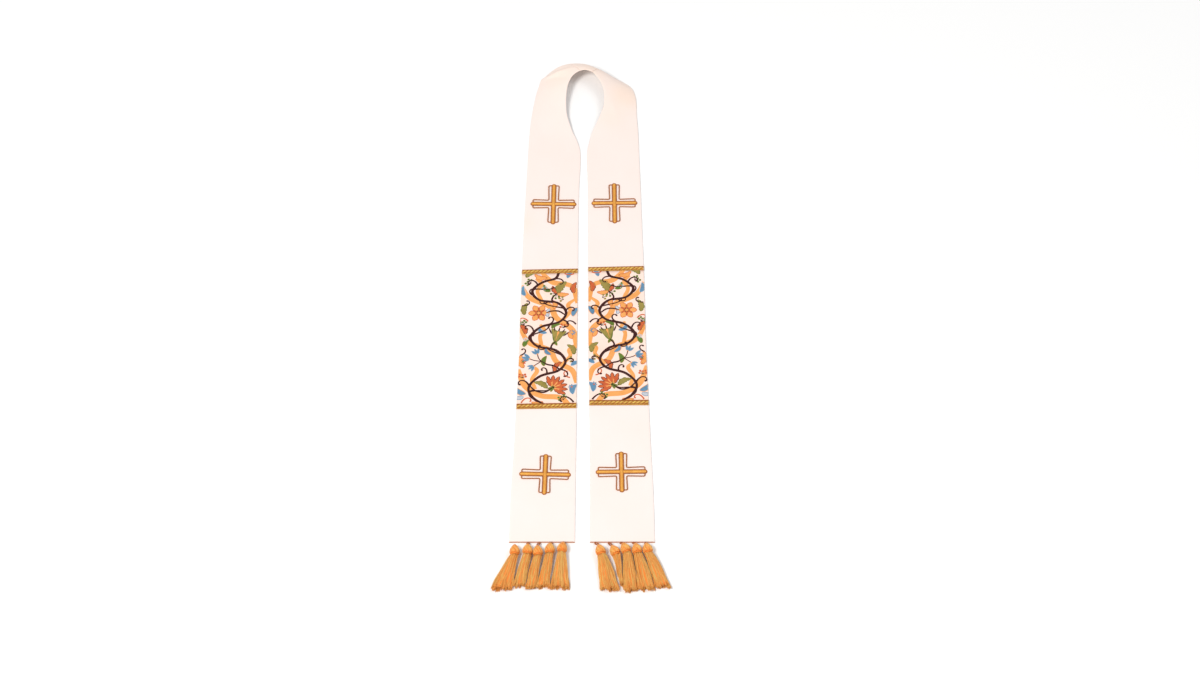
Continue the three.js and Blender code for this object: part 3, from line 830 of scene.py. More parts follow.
# Tendrils leave a place at a turn from the plan's across direction, bend evenly, and curl up at the end.
Tendril = namedtuple("Tendril", "x y turn length width bend curl thread")
TENDRILS = [
    Tendril(84, 17, 20, 37, 4.6, 70, 150, "maroon"),
    Tendril(95, 36, 160, 40, 4.4, 60, -60, "maroon"),
    Tendril(97, 50, 70, 40, 4.6, -60, -190, "maroon"),
    Tendril(62, 80, 100, 29, 4.2, -50, -210, "maroon"),
    Tendril(34, 91, 190, 33, 4.4, 50, 160, "maroon"),
    Tendril(24, 108, 110, 31, 4.4, 70, 200, "maroon"),
    Tendril(28, 124, 40, 44, 4.4, -50, 70, "maroon"),
    Tendril(62, 147, -40, 33, 4.0, 60, 190, "maroon"),
    Tendril(92, 160, 30, 33, 4.6, 60, 170, "maroon"),
    Tendril(98, 178, 150, 48, 4.4, 40, -90, "maroon"),
    Tendril(92, 190, 80, 35, 4.2, -70, -190, "maroon"),
    Tendril(58, 207, 150, 31, 4.2, -90, -160, "maroon"),
    Tendril(30, 217, 200, 31, 4.4, 60, 170, "maroon"),
    Tendril(25, 246, 20, 51, 4.4, -30, 60, "maroon"),
    Tendril(26, 240, 120, 33, 4.4, 60, 190, "maroon"),
    Tendril(62, 266, -50, 31, 4.0, 70, 190, "maroon"),
    Tendril(92, 281, 20, 31, 4.6, 70, 160, "maroon"),
    Tendril(97, 298, 170, 48, 4.4, 50, -80, "maroon"),
    Tendril(86, 310, 70, 37, 4.4, -80, -170, "maroon"),
    Tendril(50, 325, 170, 35, 4.2, 60, 170, "maroon"),
    Tendril(6, 8, 60, 44, 4.2, -50, -170, "maroon"),
    Tendril(118, 128, 160, 29, 4.0, -60, -180, "maroon"),
    Tendril(118, 256, 190, 29, 4.0, -60, -170, "maroon"),
    Tendril(3, 205, 60, 33, 4.0, -60, -190, "maroon"),
    Tendril(112, 8, 110, 33, 3.6, 60, 160, "rust"),
    Tendril(14, 70, 10, 29, 3.4, 60, 160, "rust"),
    Tendril(104, 215, 60, 29, 3.4, -60, -160, "rust"),
    Tendril(8, 338, -30, 33, 3.6, 60, 150, "rust"),
]
# Single leaves: where each starts, its turn and size, how far it bows, its threads, and its count of teeth.
Leaf = namedtuple("Leaf", "x y turn length width bow fill edge vein teeth")
LEAVES = [
    Leaf(104, 30, 40, 26, 12, 0.15, "blue", "apricot", None, 0),
    Leaf(108, 24, -10, 18, 9, 0.1, "pale", "blue", None, 0),
    Leaf(60, 44, 30, 31, 13, -0.15, "olive", "green", "maroon", 4),
    Leaf(68, 10, 0, 23, 10, 0.2, "apricot", "rust", "rust", 0),
    Leaf(8, 28, 110, 26, 12, 0.2, "blue", "pale", None, 0),
    Leaf(46, 84, 120, 29, 12, 0.2, "rust", "maroon", "apricot", 4),
    Leaf(68, 100, 100, 26, 10, 0.15, "green", "olive", None, 0),
    Leaf(110, 96, 80, 34, 14, 0.15, "apricot", "rust", "maroon", 5),
    Leaf(12, 100, 150, 20, 10, 0.1, "blue", "pale", None, 0),
    Leaf(6, 128, 60, 29, 12, -0.2, "olive", "green", "maroon", 4),
    Leaf(54, 128, 60, 23, 9, 0.2, "blue", "apricot", None, 0),
    Leaf(112, 150, 120, 21, 10, 0.1, "green", "olive", None, 0),
    Leaf(108, 182, 60, 29, 13, -0.15, "rust", "maroon", "apricot", 4),
    Leaf(64, 184, 40, 23, 10, 0.2, "blue", "pale", None, 0),
    Leaf(10, 168, 90, 23, 10, 0.2, "apricot", "rust", "rust", 0),
    Leaf(54, 196, 150, 21, 9, 0.2, "green", "olive", None, 0),
    Leaf(112, 232, 100, 31, 13, 0.15, "olive", "green", "maroon", 4),
    Leaf(10, 226, 120, 26, 12, 0.15, "blue", "apricot", None, 0),
    Leaf(50, 246, 80, 23, 10, -0.2, "apricot", "rust", "rust", 0),
    Leaf(62, 226, 100, 21, 9, 0.2, "pale", "blue", None, 0),
    Leaf(112, 282, 80, 26, 12, 0.15, "blue", "pale", None, 0),
    Leaf(8, 286, 100, 29, 13, 0.15, "rust", "maroon", "apricot", 4),
    Leaf(58, 292, 50, 23, 10, 0.2, "green", "olive", None, 0),
    Leaf(66, 328, 20, 29, 12, 0.2, "apricot", "rust", "maroon", 4),
    Leaf(22, 326, 120, 21, 10, 0.1, "blue", "pale", None, 0),
    Leaf(112, 330, 150, 29, 13, 0.2, "olive", "green", "maroon", 4),
]
Berries = namedtuple("Berries", "x y turn count spread thread")
BERRIES = [
    Berries(26, 14, 60, 5, 9, "green"),
    Berries(112, 70, 90, 5, 8, "rust"),
    Berries(8, 116, 0, 3, 7, "olive"),
    Berries(112, 206, 60, 5, 8, "green"),
    Berries(28, 196, 80, 4, 8, "rust"),
    Berries(100, 314, 30, 5, 9, "green"),
    Berries(30, 270, 20, 3, 7, "olive"),
]


def rough_length(points):
    return lengths_along(np.array(points, float))[-1]


class Embroidery:
    """Raised stitching on the plan, kept as nets of points for each colour of thread."""

    def __init__(self):
        self.nets = {thread: [] for thread in THREADS}

    def strip(self, thread, spine, half, rise, lay, columns=7):
        """Stitching along a line: half is its half width at each point, and rise its height in the middle."""
        half = np.broadcast_to(half, len(spine))
        way = tangents(spine)
        side = np.stack([way[:, 1], -way[:, 0]], axis=1)
        v = np.linspace(-1, 1, columns)
        plan = spine[:, None] + side[:, None] * (half[:, None] * v[None])[..., None]
        dome = np.sqrt(1 - v**2)
        height = rise * dome[None] * np.minimum(half / 1.2, 1)[:, None] - 0.12
        along = np.broadcast_to(lengths_along(spine)[:, None], height.shape)
        across = half[:, None] * v[None]
        if lay == "satin":
            thread_at = (along + 0.5 * np.abs(across), across)
        elif lay == "stem":
            thread_at = (along * 0.5 + across * 0.87, along)
        else:
            thread_at = (across, along)
        self.nets[thread].append((np.dstack([plan, height]), np.dstack(thread_at), False))

    def dot(self, thread, x, y, radius, rise=1.1):
        """A padded spot."""
        rings = np.array([0.04, 0.4, 0.72, 0.92, 1.0])[:, None]
        turn = np.linspace(0, 2 * math.pi, 13)[None, :-1]
        net = np.dstack([
            x + radius * rings * np.cos(turn),
            y + radius * rings * np.sin(turn),
            np.broadcast_to(rise * np.sqrt(np.maximum(1 - rings**2, 0)) - 0.1, (5, 12)),
        ])
        turns = np.linspace(0, 2 * math.pi, 13)[None]
        thread_at = np.dstack([radius * rings * np.cos(turns), radius * rings * np.sin(turns)])
        self.nets[thread].append((net, thread_at, True))

    def stem(self, thread, points, width, taper=0.0):
        """A stem through points, which may taper towards both ends."""
        spine = curve_through(points, max(8, int(rough_length(points) / 1.7)))
        t = np.linspace(0, 1, len(spine))
        half = width / 2 * (1 - taper + taper * np.sin(math.pi * t) ** 0.7)
        self.strip(thread, spine, half, 1.0, "stem")

    def tendril(self, row):
        """A tendril that thins, curls and ends in a small knob."""
        count = max(12, int(row.length / 1.4))
        t = np.linspace(0, 1, count)
        heading = np.radians(row.turn + row.bend * t + row.curl * t**3)
        step = row.length / (count - 1)
        path = np.cumsum(np.stack([np.cos(heading), np.sin(heading)], axis=1) * step, axis=0)
        path = path - path[0] + np.array([row.x, row.y])
        half = row.width / 2 * (1 - 0.45 * t + 0.5 * np.exp(-(((t - 0.93) / 0.08) ** 2)))
        self.strip(row.thread, path, half, 1.1, "stem")
        return path[-1]

    def leaf(self, row):
        """A leaf or petal in satin stitch, with its edge, its vein and its teeth where it has them."""
        turn = math.radians(row.turn)
        way = np.array([math.cos(turn), math.sin(turn)])
        side = np.array([way[1], -way[0]])
        start = np.array([row.x, row.y], float)
        points = [start, start + way * row.length / 2 + side * row.length * row.bow, start + way * row.length]
        spine = curve_through(points, max(12, int(row.length / 1.1)))
        t = np.linspace(0, 1, len(spine))
        shape = np.sin(math.pi * np.clip(t, 0.02, 0.98) ** 0.85) ** 0.75
        if row.teeth:
            shape = shape * (0.68 + 0.32 * np.abs(np.sin(math.pi * row.teeth * t)))
        half = row.width / 2 * shape
        self.strip(row.fill, spine, half, 0.75, "satin", 9)
        normal = np.stack([tangents(spine)[:, 1], -tangents(spine)[:, 0]], axis=1)
        if row.edge:
            for hand in (-1, 1):
                self.strip(row.edge, spine + normal * (hand * half)[:, None], 0.75, 0.95, "stem", 5)
        if row.vein:
            stop = int(len(spine) * 0.75)
            self.strip(row.vein, spine[:stop], 0.75 * (1.2 - t[:stop]), 1.15, "stem", 5)

    def petals(self, x, y, inner, outer, width, turns, fill, edge=None, vein=None, bow=0.0, teeth=0):
        for turn in turns:
            angle = math.radians(turn)
            start_x, start_y = x + inner * math.cos(angle), y + inner * math.sin(angle)
            self.leaf(Leaf(start_x, start_y, turn, outer - inner, width, bow, fill, edge, vein, teeth))

    def berries(self, row):
        """Berries on short stalks that fan out."""
        for number in range(row.count):
            angle = math.radians(row.turn + (number - (row.count - 1) / 2) * 150 / row.count)
            far = row.spread * (1.0 + 0.35 * (number % 2))
            x, y = row.x + far * math.cos(angle), row.y + far * math.sin(angle)
            self.stem("maroon", [(row.x, row.y), ((row.x + x) / 2 + 0.6, (row.y + y) / 2), (x, y)], 1.3)
            self.dot(row.thread, x, y, 2.7)

    def carnation(self, x, y, turn, size):
        """A fan of fringed petals over a small green cup."""
        spread = np.linspace(-70, 70, 7) + turn
        self.petals(x, y, size * 0.15, size, size * 0.36, spread, "rust", "maroon", "apricot", teeth=3)
        inner = np.linspace(-48, 48, 4) + turn
        self.petals(x, y, size * 0.1, size * 0.62, size * 0.27, inner, "apricot", "rust", "maroon")
        back = turn + 180
        cup = (back - 35, back, back + 35)
        self.petals(x, y, -size * 0.3, size * 0.3, size * 0.22, cup, "green", "olive")
        angle = math.radians(turn)
        self.dot("maroon", x + size * 0.1 * math.cos(angle), y + size * 0.1 * math.sin(angle), size * 0.09)

    def bellflowers(self, x, y, turn, size):
        """Three blue bells on a branching stalk."""
        for off, reach, scale in ((-52, 0.75, 0.8), (0, 1.0, 1.0), (50, 0.8, 0.85)):
            angle = math.radians(turn + off)
            bell_x, bell_y = x + size * reach * math.cos(angle), y + size * reach * math.sin(angle)
            bend = ((x + bell_x) / 2 + 1.5, (y + bell_y) / 2 - 1.0)
            self.stem("maroon", [(x, y), bend, (bell_x, bell_y)], 2.2)
            long = size * 0.72 * scale
            turns = (turn + off - 34, turn + off + 34, turn + off)
            self.petals(bell_x, bell_y, 0, long, long * 0.42, turns, "blue", "pale")
            self.petals(
                bell_x, bell_y, long * 0.1, long * 0.72, long * 0.2, (turn + off,), "pale", vein="apricot"
            )
            self.dot("apricot", bell_x, bell_y, 2.0)

    def tulip(self, x, y, turn, size):
        """A tulip of three olive petals round an apricot heart, with a maroon fringe."""
        fringe = np.linspace(-34, 34, 5) + turn
        self.petals(x, y, size * 0.62, size * 1.12, size * 0.1, fringe, "maroon")
        for hand in (-1, 1):
            side = (turn + hand * 26,)
            self.petals(x, y, 0, size * 0.98, size * 0.42, side, "olive", "green", "maroon", bow=0.16 * hand)
        self.petals(x, y, size * 0.05, size * 0.86, size * 0.36, (turn,), "apricot", "green", "rust", teeth=2)
        back = turn + 180
        self.petals(x, y, -size * 0.12, size * 0.26, size * 0.16, (back - 40, back + 40), "green", "olive")

    def rosette(self, x, y, size):
        """A round open rose: two rings of petals about a knotted middle."""
        self.petals(x, y, size * 0.3, size, size * 0.58, np.arange(0, 360, 60), "apricot", "rust", "rust")
        self.petals(x, y, size * 0.12, size * 0.56, size * 0.34, np.arange(30, 390, 60), "rust", "maroon")
        self.dot("apricot", x, y, size * 0.17)
        for turn in np.radians(np.arange(0, 360, 72)):
            self.dot("olive", x + size * 0.2 * math.cos(turn), y + size * 0.2 * math.sin(turn), 1.2)

    def oak_spray(self, x, y, turn, size):
        """A lobed leaf with berries at its foot."""
        lobes = (
            (0, 1.3, 0.66, 0.1, "olive", "green", "maroon", 4),
            (62, 0.9, 0.4, -0.1, "apricot", "rust", "maroon", 4),
            (-58, 0.8, 0.36, 0.1, "rust", "maroon", "apricot", 3),
        )
        for off, long, wide, bow, fill, edge, vein, teeth in lobes:
            self.petals(x, y, 0, size * long, size * wide, (turn + off,), fill, edge, vein, bow, teeth)
        self.berries(Berries(x, y, turn + 180, 4, size * 0.34, "green"))

    def daisy(self, x, y, size, fill, heart):
        self.petals(x, y, size * 0.2, size, size * 0.42, np.arange(0, 360, 45), fill)
        self.dot(heart, x, y, size * 0.3)


def embroider():
    """All the stitching on the plan, the broad ribbons first and the flowers last."""
    work = Embroidery()
    for ribbon in RIBBONS:
        spine = curve_through(ribbon.points, int(rough_length(ribbon.points) / 2.2))
        t = np.linspace(0, 1, len(spine))
        half = ribbon.width / 2 * (0.72 + 0.28 * np.sin(math.pi * t) + 0.08 * np.sin(11 * t))
        work.strip("apricot", spine, half, 0.45, "long", 11)
    work.stem("maroon", MAIN_STEM, 6.4)
    for row in TENDRILS:
        work.tendril(row)
    for row in LEAVES:
        work.leaf(row)
    for row in BERRIES:
        work.berries(row)
    for stalk in STALKS:
        work.stem("maroon", stalk, 4.2, 0.3)
    work.carnation(50, 44, 140, 32)
    work.bellflowers(74, 112, 15, 25)
    work.tulip(46, 160, 104, 36)
    work.rosette(82, 236, 22)
    work.oak_spray(44, 286, 122, 28)
    work.daisy(112, 112, 8, "rust", "green")
    work.daisy(10, 184, 8, "blue", "apricot")
    work.daisy(70, 300, 7, "pale", "rust")
    work.daisy(108, 168, 7, "pale", "apricot")
    work.daisy(10, 46, 8, "blue", "rust")
    return work


def panel_points(row, plan):
    """Plan points with a height above the ground cloth, set on a front's orphrey."""
    across = np.clip(plan[..., 0], 0.3, PLAN_WIDTH - 0.3) / PLAN_WIDTH
    up = np.clip(plan[..., 1], BRAID_HALF, PLAN_LENGTH - BRAID_HALF) / PLAN_LENGTH
    middle = row.bottom + (row.top - row.bottom) * up
    rise = row.bottom_rise + (row.top_rise - row.bottom_rise) * up
    left, right = front_span(row.side, middle)
    share = across if row.side == "right" else 1 - across
    x = left + EDGE_INSET + (right - left - 2 * EDGE_INSET) * share
    y = middle + rise * (share - 0.5)
    return np.stack([x, y, ON_CLOTH + GROUND_CLOTH + lift(x, y) + plan[..., 2]], axis=-1)


def upward(faces, thread, points):
    """Faces and their thread coordinates, turned so that they all face up."""
    faces = np.array(faces)
    corners = points[faces]
    across, along = corners[:, 2] - corners[:, 0], corners[:, 3] - corners[:, 1]
    down = across[:, 0] * along[:, 1] - across[:, 1] * along[:, 0] < 0
    faces[down] = faces[down, ::-1]
    thread = thread.reshape(-1, 4, 2)
    thread[down] = thread[down, ::-1]
    return faces.tolist(), thread.reshape(-1, 2)


def orphrey(row, stitching):
    """The ground cloth of a front's orphrey, and the stitching on it by colour of thread."""
    across = np.array([0, 0, 0.004, *np.linspace(0.012, 0.988, 13), 0.996, 1, 1])
    drop = np.array([GROUND_CLOTH, 0.3, 0.05, *[0.0] * 13, 0.05, 0.3, GROUND_CLOTH])
    up = np.linspace(BRAID_HALF, PLAN_LENGTH - BRAID_HALF, 44)
    face = np.dstack(np.broadcast_arrays(across[None] * PLAN_WIDTH, up[:, None], -drop[None]))
    back = face[:, ::-1].copy()
    back[..., 2] = -GROUND_CLOTH - 0.02
    net = np.concatenate([face, back], axis=1)
    thread = np.concatenate([net[..., :2], net[:, :1, :2]], axis=1)
    work = Work()
    work.grid(panel_points(row, net), thread, wrap=True, caps=True)
    ground = make(f"orphrey_{row.side}_ground", work, ORPHREY_GROUND, [f"orphrey_{row.side}"])
    for thread_name, nets in stitching.nets.items():
        work = Work()
        for net, thread, wrap in nets:
            work.grid(panel_points(row, net), thread, wrap=wrap)
        points = np.concatenate(work.points)
        work.faces, turned = upward(work.faces, np.concatenate(work.thread), points)
        work.thread = [turned]
        make(f"orphrey_{row.side}_{thread_name}", work, THREADS[thread_name], closed=False)
    return ground


STITCHING = embroider()
ORPHREY_CLOTHS = [orphrey(row, STITCHING) for row in ORPHREYS]

# ---------------------------------------------------------------- braids and hem cords
def trim_line(side, middle, rise, spacing):
    """A line across a front at a level, from its left end to its right, that climbs by rise."""
    left, right = front_span(side, middle)
    count = int((right - left) / spacing)
    x = np.linspace(left + EDGE_INSET, right - EDGE_INSET, count)
    y = middle + rise * ((x - left) / (right - left) - 0.5)
    return np.stack([x, y, np.full(count, ON_CLOTH) + lift(x, y)], axis=1)


def strip_along(work, line, half, bottom, top, tone):
    """A flat tape with soft edges along a level line."""
    section = np.array([
        (-half, bottom + 0.1), (-half, top - 0.3), (-half + 0.4, top), (-half * 0.4, top + 0.1),
        (half * 0.4, top + 0.1), (half - 0.4, top), (half, top - 0.3), (half, bottom + 0.1),
        (half - 0.3, bottom), (-half + 0.3, bottom),
    ])
    points = np.repeat(line[:, None], len(section), axis=1)
    points[..., 1] += section[None, :, 0]
    points[..., 2] += section[None, :, 1]
    along = lengths_along(line)
    round_it = np.append(lengths_along(section), 2 * (half + top))
    thread = np.stack([
        np.broadcast_to(along[:, None], (len(line), len(round_it))),
        np.broadcast_to(round_it[None], (len(line), len(round_it))),
    ], axis=2)
    work.grid(points, thread, wrap=True, tone=tone, caps=True)


TAPE_HALF = {"top": 5.7, "bottom": 6.4}
TAPE = 0.8
ROPE_RADIUS = 3.5
ROPE_LAY = 17.4
EDGE_CORD_LAY = ROPE_LAY / 4


def braid(side, edge, middle, rise):
    """Gold braid: a tape with a fat two-ply rope down its middle between two thin cords."""
    half = TAPE_HALF[edge]
    work = Work()
    base = trim_line(side, middle, rise, 4.0)
    strip_along(work, base, half, 0.0, TAPE, 0.25)
    rope = trim_line(side, middle, rise, 0.75)
    rope[:, 1] -= 0.2
    rope[:, 2] += 1.55
    rope[:, 0] = np.clip(rope[:, 0], rope[0, 0] + 0.6, rope[-1, 0] - 0.6)
    # The rope's plies get a strong painted highlight on top and painted shade as they turn under.
    twisted_cord(work, rope, ROPE_RADIUS, ROPE_LAY, sides=9, flatten=0.65, tones=(1.0, 0.92), painted_top_light=0.95)
    for offset, radius, tones in ((half - 1.3, 1.15, (0.1, 0.3)), (1.3 - half, 1.25, (0.55, 0.8))):
        cord = trim_line(side, middle, rise, 0.5)
        cord[:, 1] += offset
        cord[:, 2] += 1.1
        twisted_cord(work, cord, radius, EDGE_CORD_LAY, sides=5, flatten=0.9, tones=tones)
    name = f"braid_{side}_{edge}"
    return make(name + "_gold", work, GOLD_BRAID, [name])


for row in ORPHREYS:
    braid(row.side, "top", row.top, row.top_rise)
    braid(row.side, "bottom", row.bottom, row.bottom_rise)

for side in ("left", "right"):
    hem = Work()
    left_end, right_end = front_span(side, 0)
    hem_x = np.linspace(left_end, right_end, 300)
    hem_line = np.stack([hem_x, np.full(300, -0.4 - HEM_CORD / 2), np.full(300, HEM_CORD / 2)], axis=1)
    twisted_cord(hem, hem_line, HEM_CORD * 0.4, 4.6, sides=6, tones=(0.35, 0.6))
    make(f"hem_cord_{side}_twist", hem, HEM_TWIST, [f"hem_cord_{side}"])


# ---------------------------------------------------------------- crosses
OUTLINE_ROOT = 10.0      # middle of the outline cord where two arms meet
OUTLINE_END = 11.2       # and at an arm's end, so that the arms flare a little
OUTLINE_TIP = 5.2        # how far it stops short of the end of the bars
EDGING = 4.2             # middle of the brown edging along the gold bars
GOLD_HALF = 3.5


def arm_points(points, turn):
    """Points given along and across an arm, turned to point that way."""
    along, across = np.array(points, float).T
    return np.stack([
        along * math.cos(turn) - across * math.sin(turn),
        along * math.sin(turn) + across * math.cos(turn),
    ], axis=1)


def round_corners(corners, radius, spacing=0.6):
    """A closed line through corners, each cut to a short curve, with points about spacing apart."""
    corners = np.array(corners, float)
    line = []
    for before, corner, after in zip(np.roll(corners, 1, axis=0), corners, np.roll(corners, -1, axis=0)):
        cut = min(radius, np.linalg.norm(corner - before) / 2, np.linalg.norm(after - corner) / 2)
        start = corner + (before - corner) / np.linalg.norm(before - corner) * cut
        stop = corner + (after - corner) / np.linalg.norm(after - corner) * cut
        for t in np.linspace(0, 1, 5):
            line.append((1 - t) ** 2 * start + 2 * t * (1 - t) * corner + t**2 * stop)
    line = np.array(line + [line[0]])
    along = lengths_along(line)
    even = np.linspace(0, along[-1], int(along[-1] / spacing))[:-1]
    return np.stack([np.interp(even, along, line[:, k]) for k in range(2)], axis=1)


def on_front(cross, points, height):
    """Points of a cross, turned and set on the front at a height above the cloth's face."""
    flat = arm_points(points, math.radians(cross.turn)) + np.array([cross.x, cross.y])
    return np.column_stack([flat, CLOTH + lift(flat[:, 0], flat[:, 1]) + height])


def gold_bar(work, cross, reach, turn, base, hump):
    """A couched gold bar: six threads side by side over padding, rounded at both ends."""
    count = int(reach * 2 / 1.2)
    along = np.linspace(-reach, reach, count)
    from_end = np.minimum(reach - np.abs(along), GOLD_HALF)
    half = np.sqrt(np.maximum(GOLD_HALF**2 - (GOLD_HALF - from_end) ** 2, 0.09))
    v = np.linspace(-1, 1, 25)
    dome = np.sqrt(np.maximum(1 - v**2, 0)) ** 0.8
    threads = np.abs(np.sin(v * math.pi * 3)) ** 0.7
    height = (dome * 1.6 + threads * dome * 0.3)[None] * (half / GOLD_HALF)[:, None]
    over = hump * np.exp(-((along / 7.5) ** 4))
    flat = np.stack([
        np.broadcast_to(along[:, None], height.shape), half[:, None] * v[None]
    ], axis=2).reshape(-1, 2)
    placed = on_front(cross, arm_points(flat, turn), 0).reshape(height.shape + (3,))
    placed[..., 2] += base + over[:, None] + height
    thread = np.stack([
        np.broadcast_to((v * GOLD_HALF)[None], height.shape), np.broadcast_to(along[:, None], height.shape)
    ], axis=2)
    # Painted highlight along the middle of the bar and painted shade towards its edges, following the dome.
    tone = 0.05 + 0.95 * np.broadcast_to(dome[None] ** 2, height.shape)
    work.grid(placed, thread, tone=tone)


def cross(row):
    arms = [(0.0, row.width / 2), (0.5, row.height / 2), (1.0, row.width / 2), (1.5, row.height / 2)]
    brown = Work()
    corners = []
    edging = []
    for quarter, reach in arms:
        turn = quarter * math.pi
        stop = reach - OUTLINE_TIP
        corners.extend(arm_points([
            (OUTLINE_ROOT, -OUTLINE_ROOT), (stop, -OUTLINE_END), (stop, OUTLINE_END)
        ], turn))
        tip = reach - 1.0 - EDGING
        round_it = np.linspace(-math.pi / 2, math.pi / 2, 9)
        round_end = [(tip + EDGING * math.cos(a), EDGING * math.sin(a)) for a in round_it]
        edging.extend(arm_points([(EDGING, -EDGING)] + round_end, turn))
    for line, cut, radius in ((corners, 3.0, 1.25), (edging, 0.8, 1.2)):
        path = round_corners(line, cut)
        from_bar = np.abs(path).min(axis=1)
        height = np.where(from_bar < EDGING * 0.9, 0.3, 1.3)
        height = np.convolve(np.concatenate([height[-3:], height, height[:3]]), np.ones(7) / 7, "valid")
        twisted_cord(brown, on_front(row, path, height), radius, 3.6, sides=6, closed=True, tones=(0.3, 0.8))
    make(f"cross_outline_{row.name}_cord", brown, BROWN_CORD, [f"cross_outline_{row.name}"])
    gold = Work()
    gold_bar(gold, row, row.width / 2 - 1.6, 0.0, 0.4, 0.0)
    gold_bar(gold, row, row.height / 2 - 1.6, math.pi / 2, 0.5, 1.3)
    make(f"cross_gold_{row.name}_thread", gold, CROSS_GOLD, [f"cross_gold_{row.name}"])


for row in CROSSES:
    cross(row)


# ---------------------------------------------------------------- tassels
HEAD_Z = HEAD_RADIUS + 0.3
HEAD_PROFILE = [
    (0.0, 7.0), (1.2, 7.6), (2.4, 9.2), (4.2, 9.9), (7.0, HEAD_RADIUS),
    (12.0, 9.1), (16.0, 7.0), (19.5, 4.4), (HEAD_LENGTH, 2.4),
]
HEAD_STRANDS = 19
BINDING_WRAPS = 3


def lathe_point(row, up, radius, turn):
    """A point round a head's own axis: up it from the neck, and turn round it from its right side."""
    lean = math.radians(row.lean)
    axis = np.array([math.sin(lean), math.cos(lean), 0])
    side = np.array([math.cos(lean), -math.sin(lean), 0])
    neck = np.array([row.neck_x, row.neck_y, HEAD_Z])
    out = side * np.cos(turn)[..., None] + np.array([0, 0, 1.0]) * np.sin(turn)[..., None]
    return neck + axis * up[..., None] + out * radius[..., None]


def tassel_head(name, row, draw):
    """A wound head: fat strands that twist up from the tied neck and gather at the top."""
    work = Work()
    heights, radii = np.array(HEAD_PROFILE).T
    up = np.linspace(0.4, HEAD_LENGTH - 0.4, 12)
    turn = np.linspace(0, 2 * math.pi, 17)[:-1]
    core = lathe_point(
        row, np.broadcast_to(up[:, None], (12, 16)),
        np.broadcast_to(np.interp(up, heights, radii)[:, None] * 0.84, (12, 16)),
        np.broadcast_to(turn[None], (12, 16)),
    )
    thread = np.stack(np.meshgrid(up, np.linspace(0, 50, 17), indexing="ij"), axis=2)
    # The core is painted dark: painted shade seen between the strands.
    work.grid(core, thread, wrap=True, tone=0.1, caps=True)
    for strand in range(HEAD_STRANDS):
        start = draw.uniform(0.7, 2.2)
        climb = np.linspace(start, HEAD_LENGTH - 0.2, 20)
        share = (climb - start) / (climb[-1] - start)
        size = np.interp(climb, heights, radii)
        thick = 1.5 * (0.35 + 0.65 * size / HEAD_RADIUS) * draw.uniform(0.85, 1.15)
        thick *= np.clip(share * 8 + 0.55, 0, 1)
        wave = 0.12 * np.sin(share * 5 + draw.uniform(0, 6.3))
        angle = 2 * math.pi * strand / HEAD_STRANDS + 1.25 * share + wave + draw.uniform(-0.05, 0.05)
        line = lathe_point(row, climb, size - thick * 0.8, angle)
        # Random tone per strand, with painted highlight where it bulges out at mid height and painted shade
        # at both ends where it tucks in.
        tone = draw.uniform(0.4, 1.0) * (0.5 + 0.5 * np.sin(math.pi * share))
        tube(work, line, thick, thick * 0.85, 6, tone=tone)
    turns = np.linspace(0, BINDING_WRAPS * 2 * math.pi, BINDING_WRAPS * 16)
    binding = lathe_point(
        row, np.linspace(-1.4, 0.9, len(turns)), np.full(len(turns), NECK_RADIUS - 0.5), turns
    )
    # The binding is painted dark: painted shade at the tied neck.
    tube(work, binding, 0.7, 0.7, 5, tone=0.05, up=(math.sin(math.radians(row.lean)), 1, 0))
    make(f"{name}_head_thread", work, TASSEL_GOLD, [f"{name}_head"])


SKIRT_NECK_DEPTH = 14.0  # how thick a skirt is at its neck and at its end
SKIRT_END_DEPTH = 9.0
LOCKS = 19
LOCK_THREADS = 23


def skirt_point(row, down, across, over):
    """A place in a skirt: down it from 0 to 1, and across and over within the unit circle."""
    spread = down**0.85
    left = row.neck_x - NECK_RADIUS + (row.end_from - row.neck_x + NECK_RADIUS) * spread
    right = row.neck_x + NECK_RADIUS + (row.end_to - row.neck_x - NECK_RADIUS) * spread
    thick = SKIRT_NECK_DEPTH + (SKIRT_END_DEPTH - SKIRT_NECK_DEPTH) * down
    rise = (HEAD_Z - SKIRT_NECK_DEPTH / 2) * np.maximum(1 - down, 0) ** 3
    x = (left + right) / 2 + (right - left) / 2 * across
    slope = math.tan(math.radians(row.lean)) * np.maximum(1 - down, 0)
    top = row.neck_y - 0.6
    y = top + (row.end_y - top) * down - slope * (x - row.neck_x)
    z = rise + thick / 2 * (1 + over)
    return np.stack([x, y, z], axis=-1)


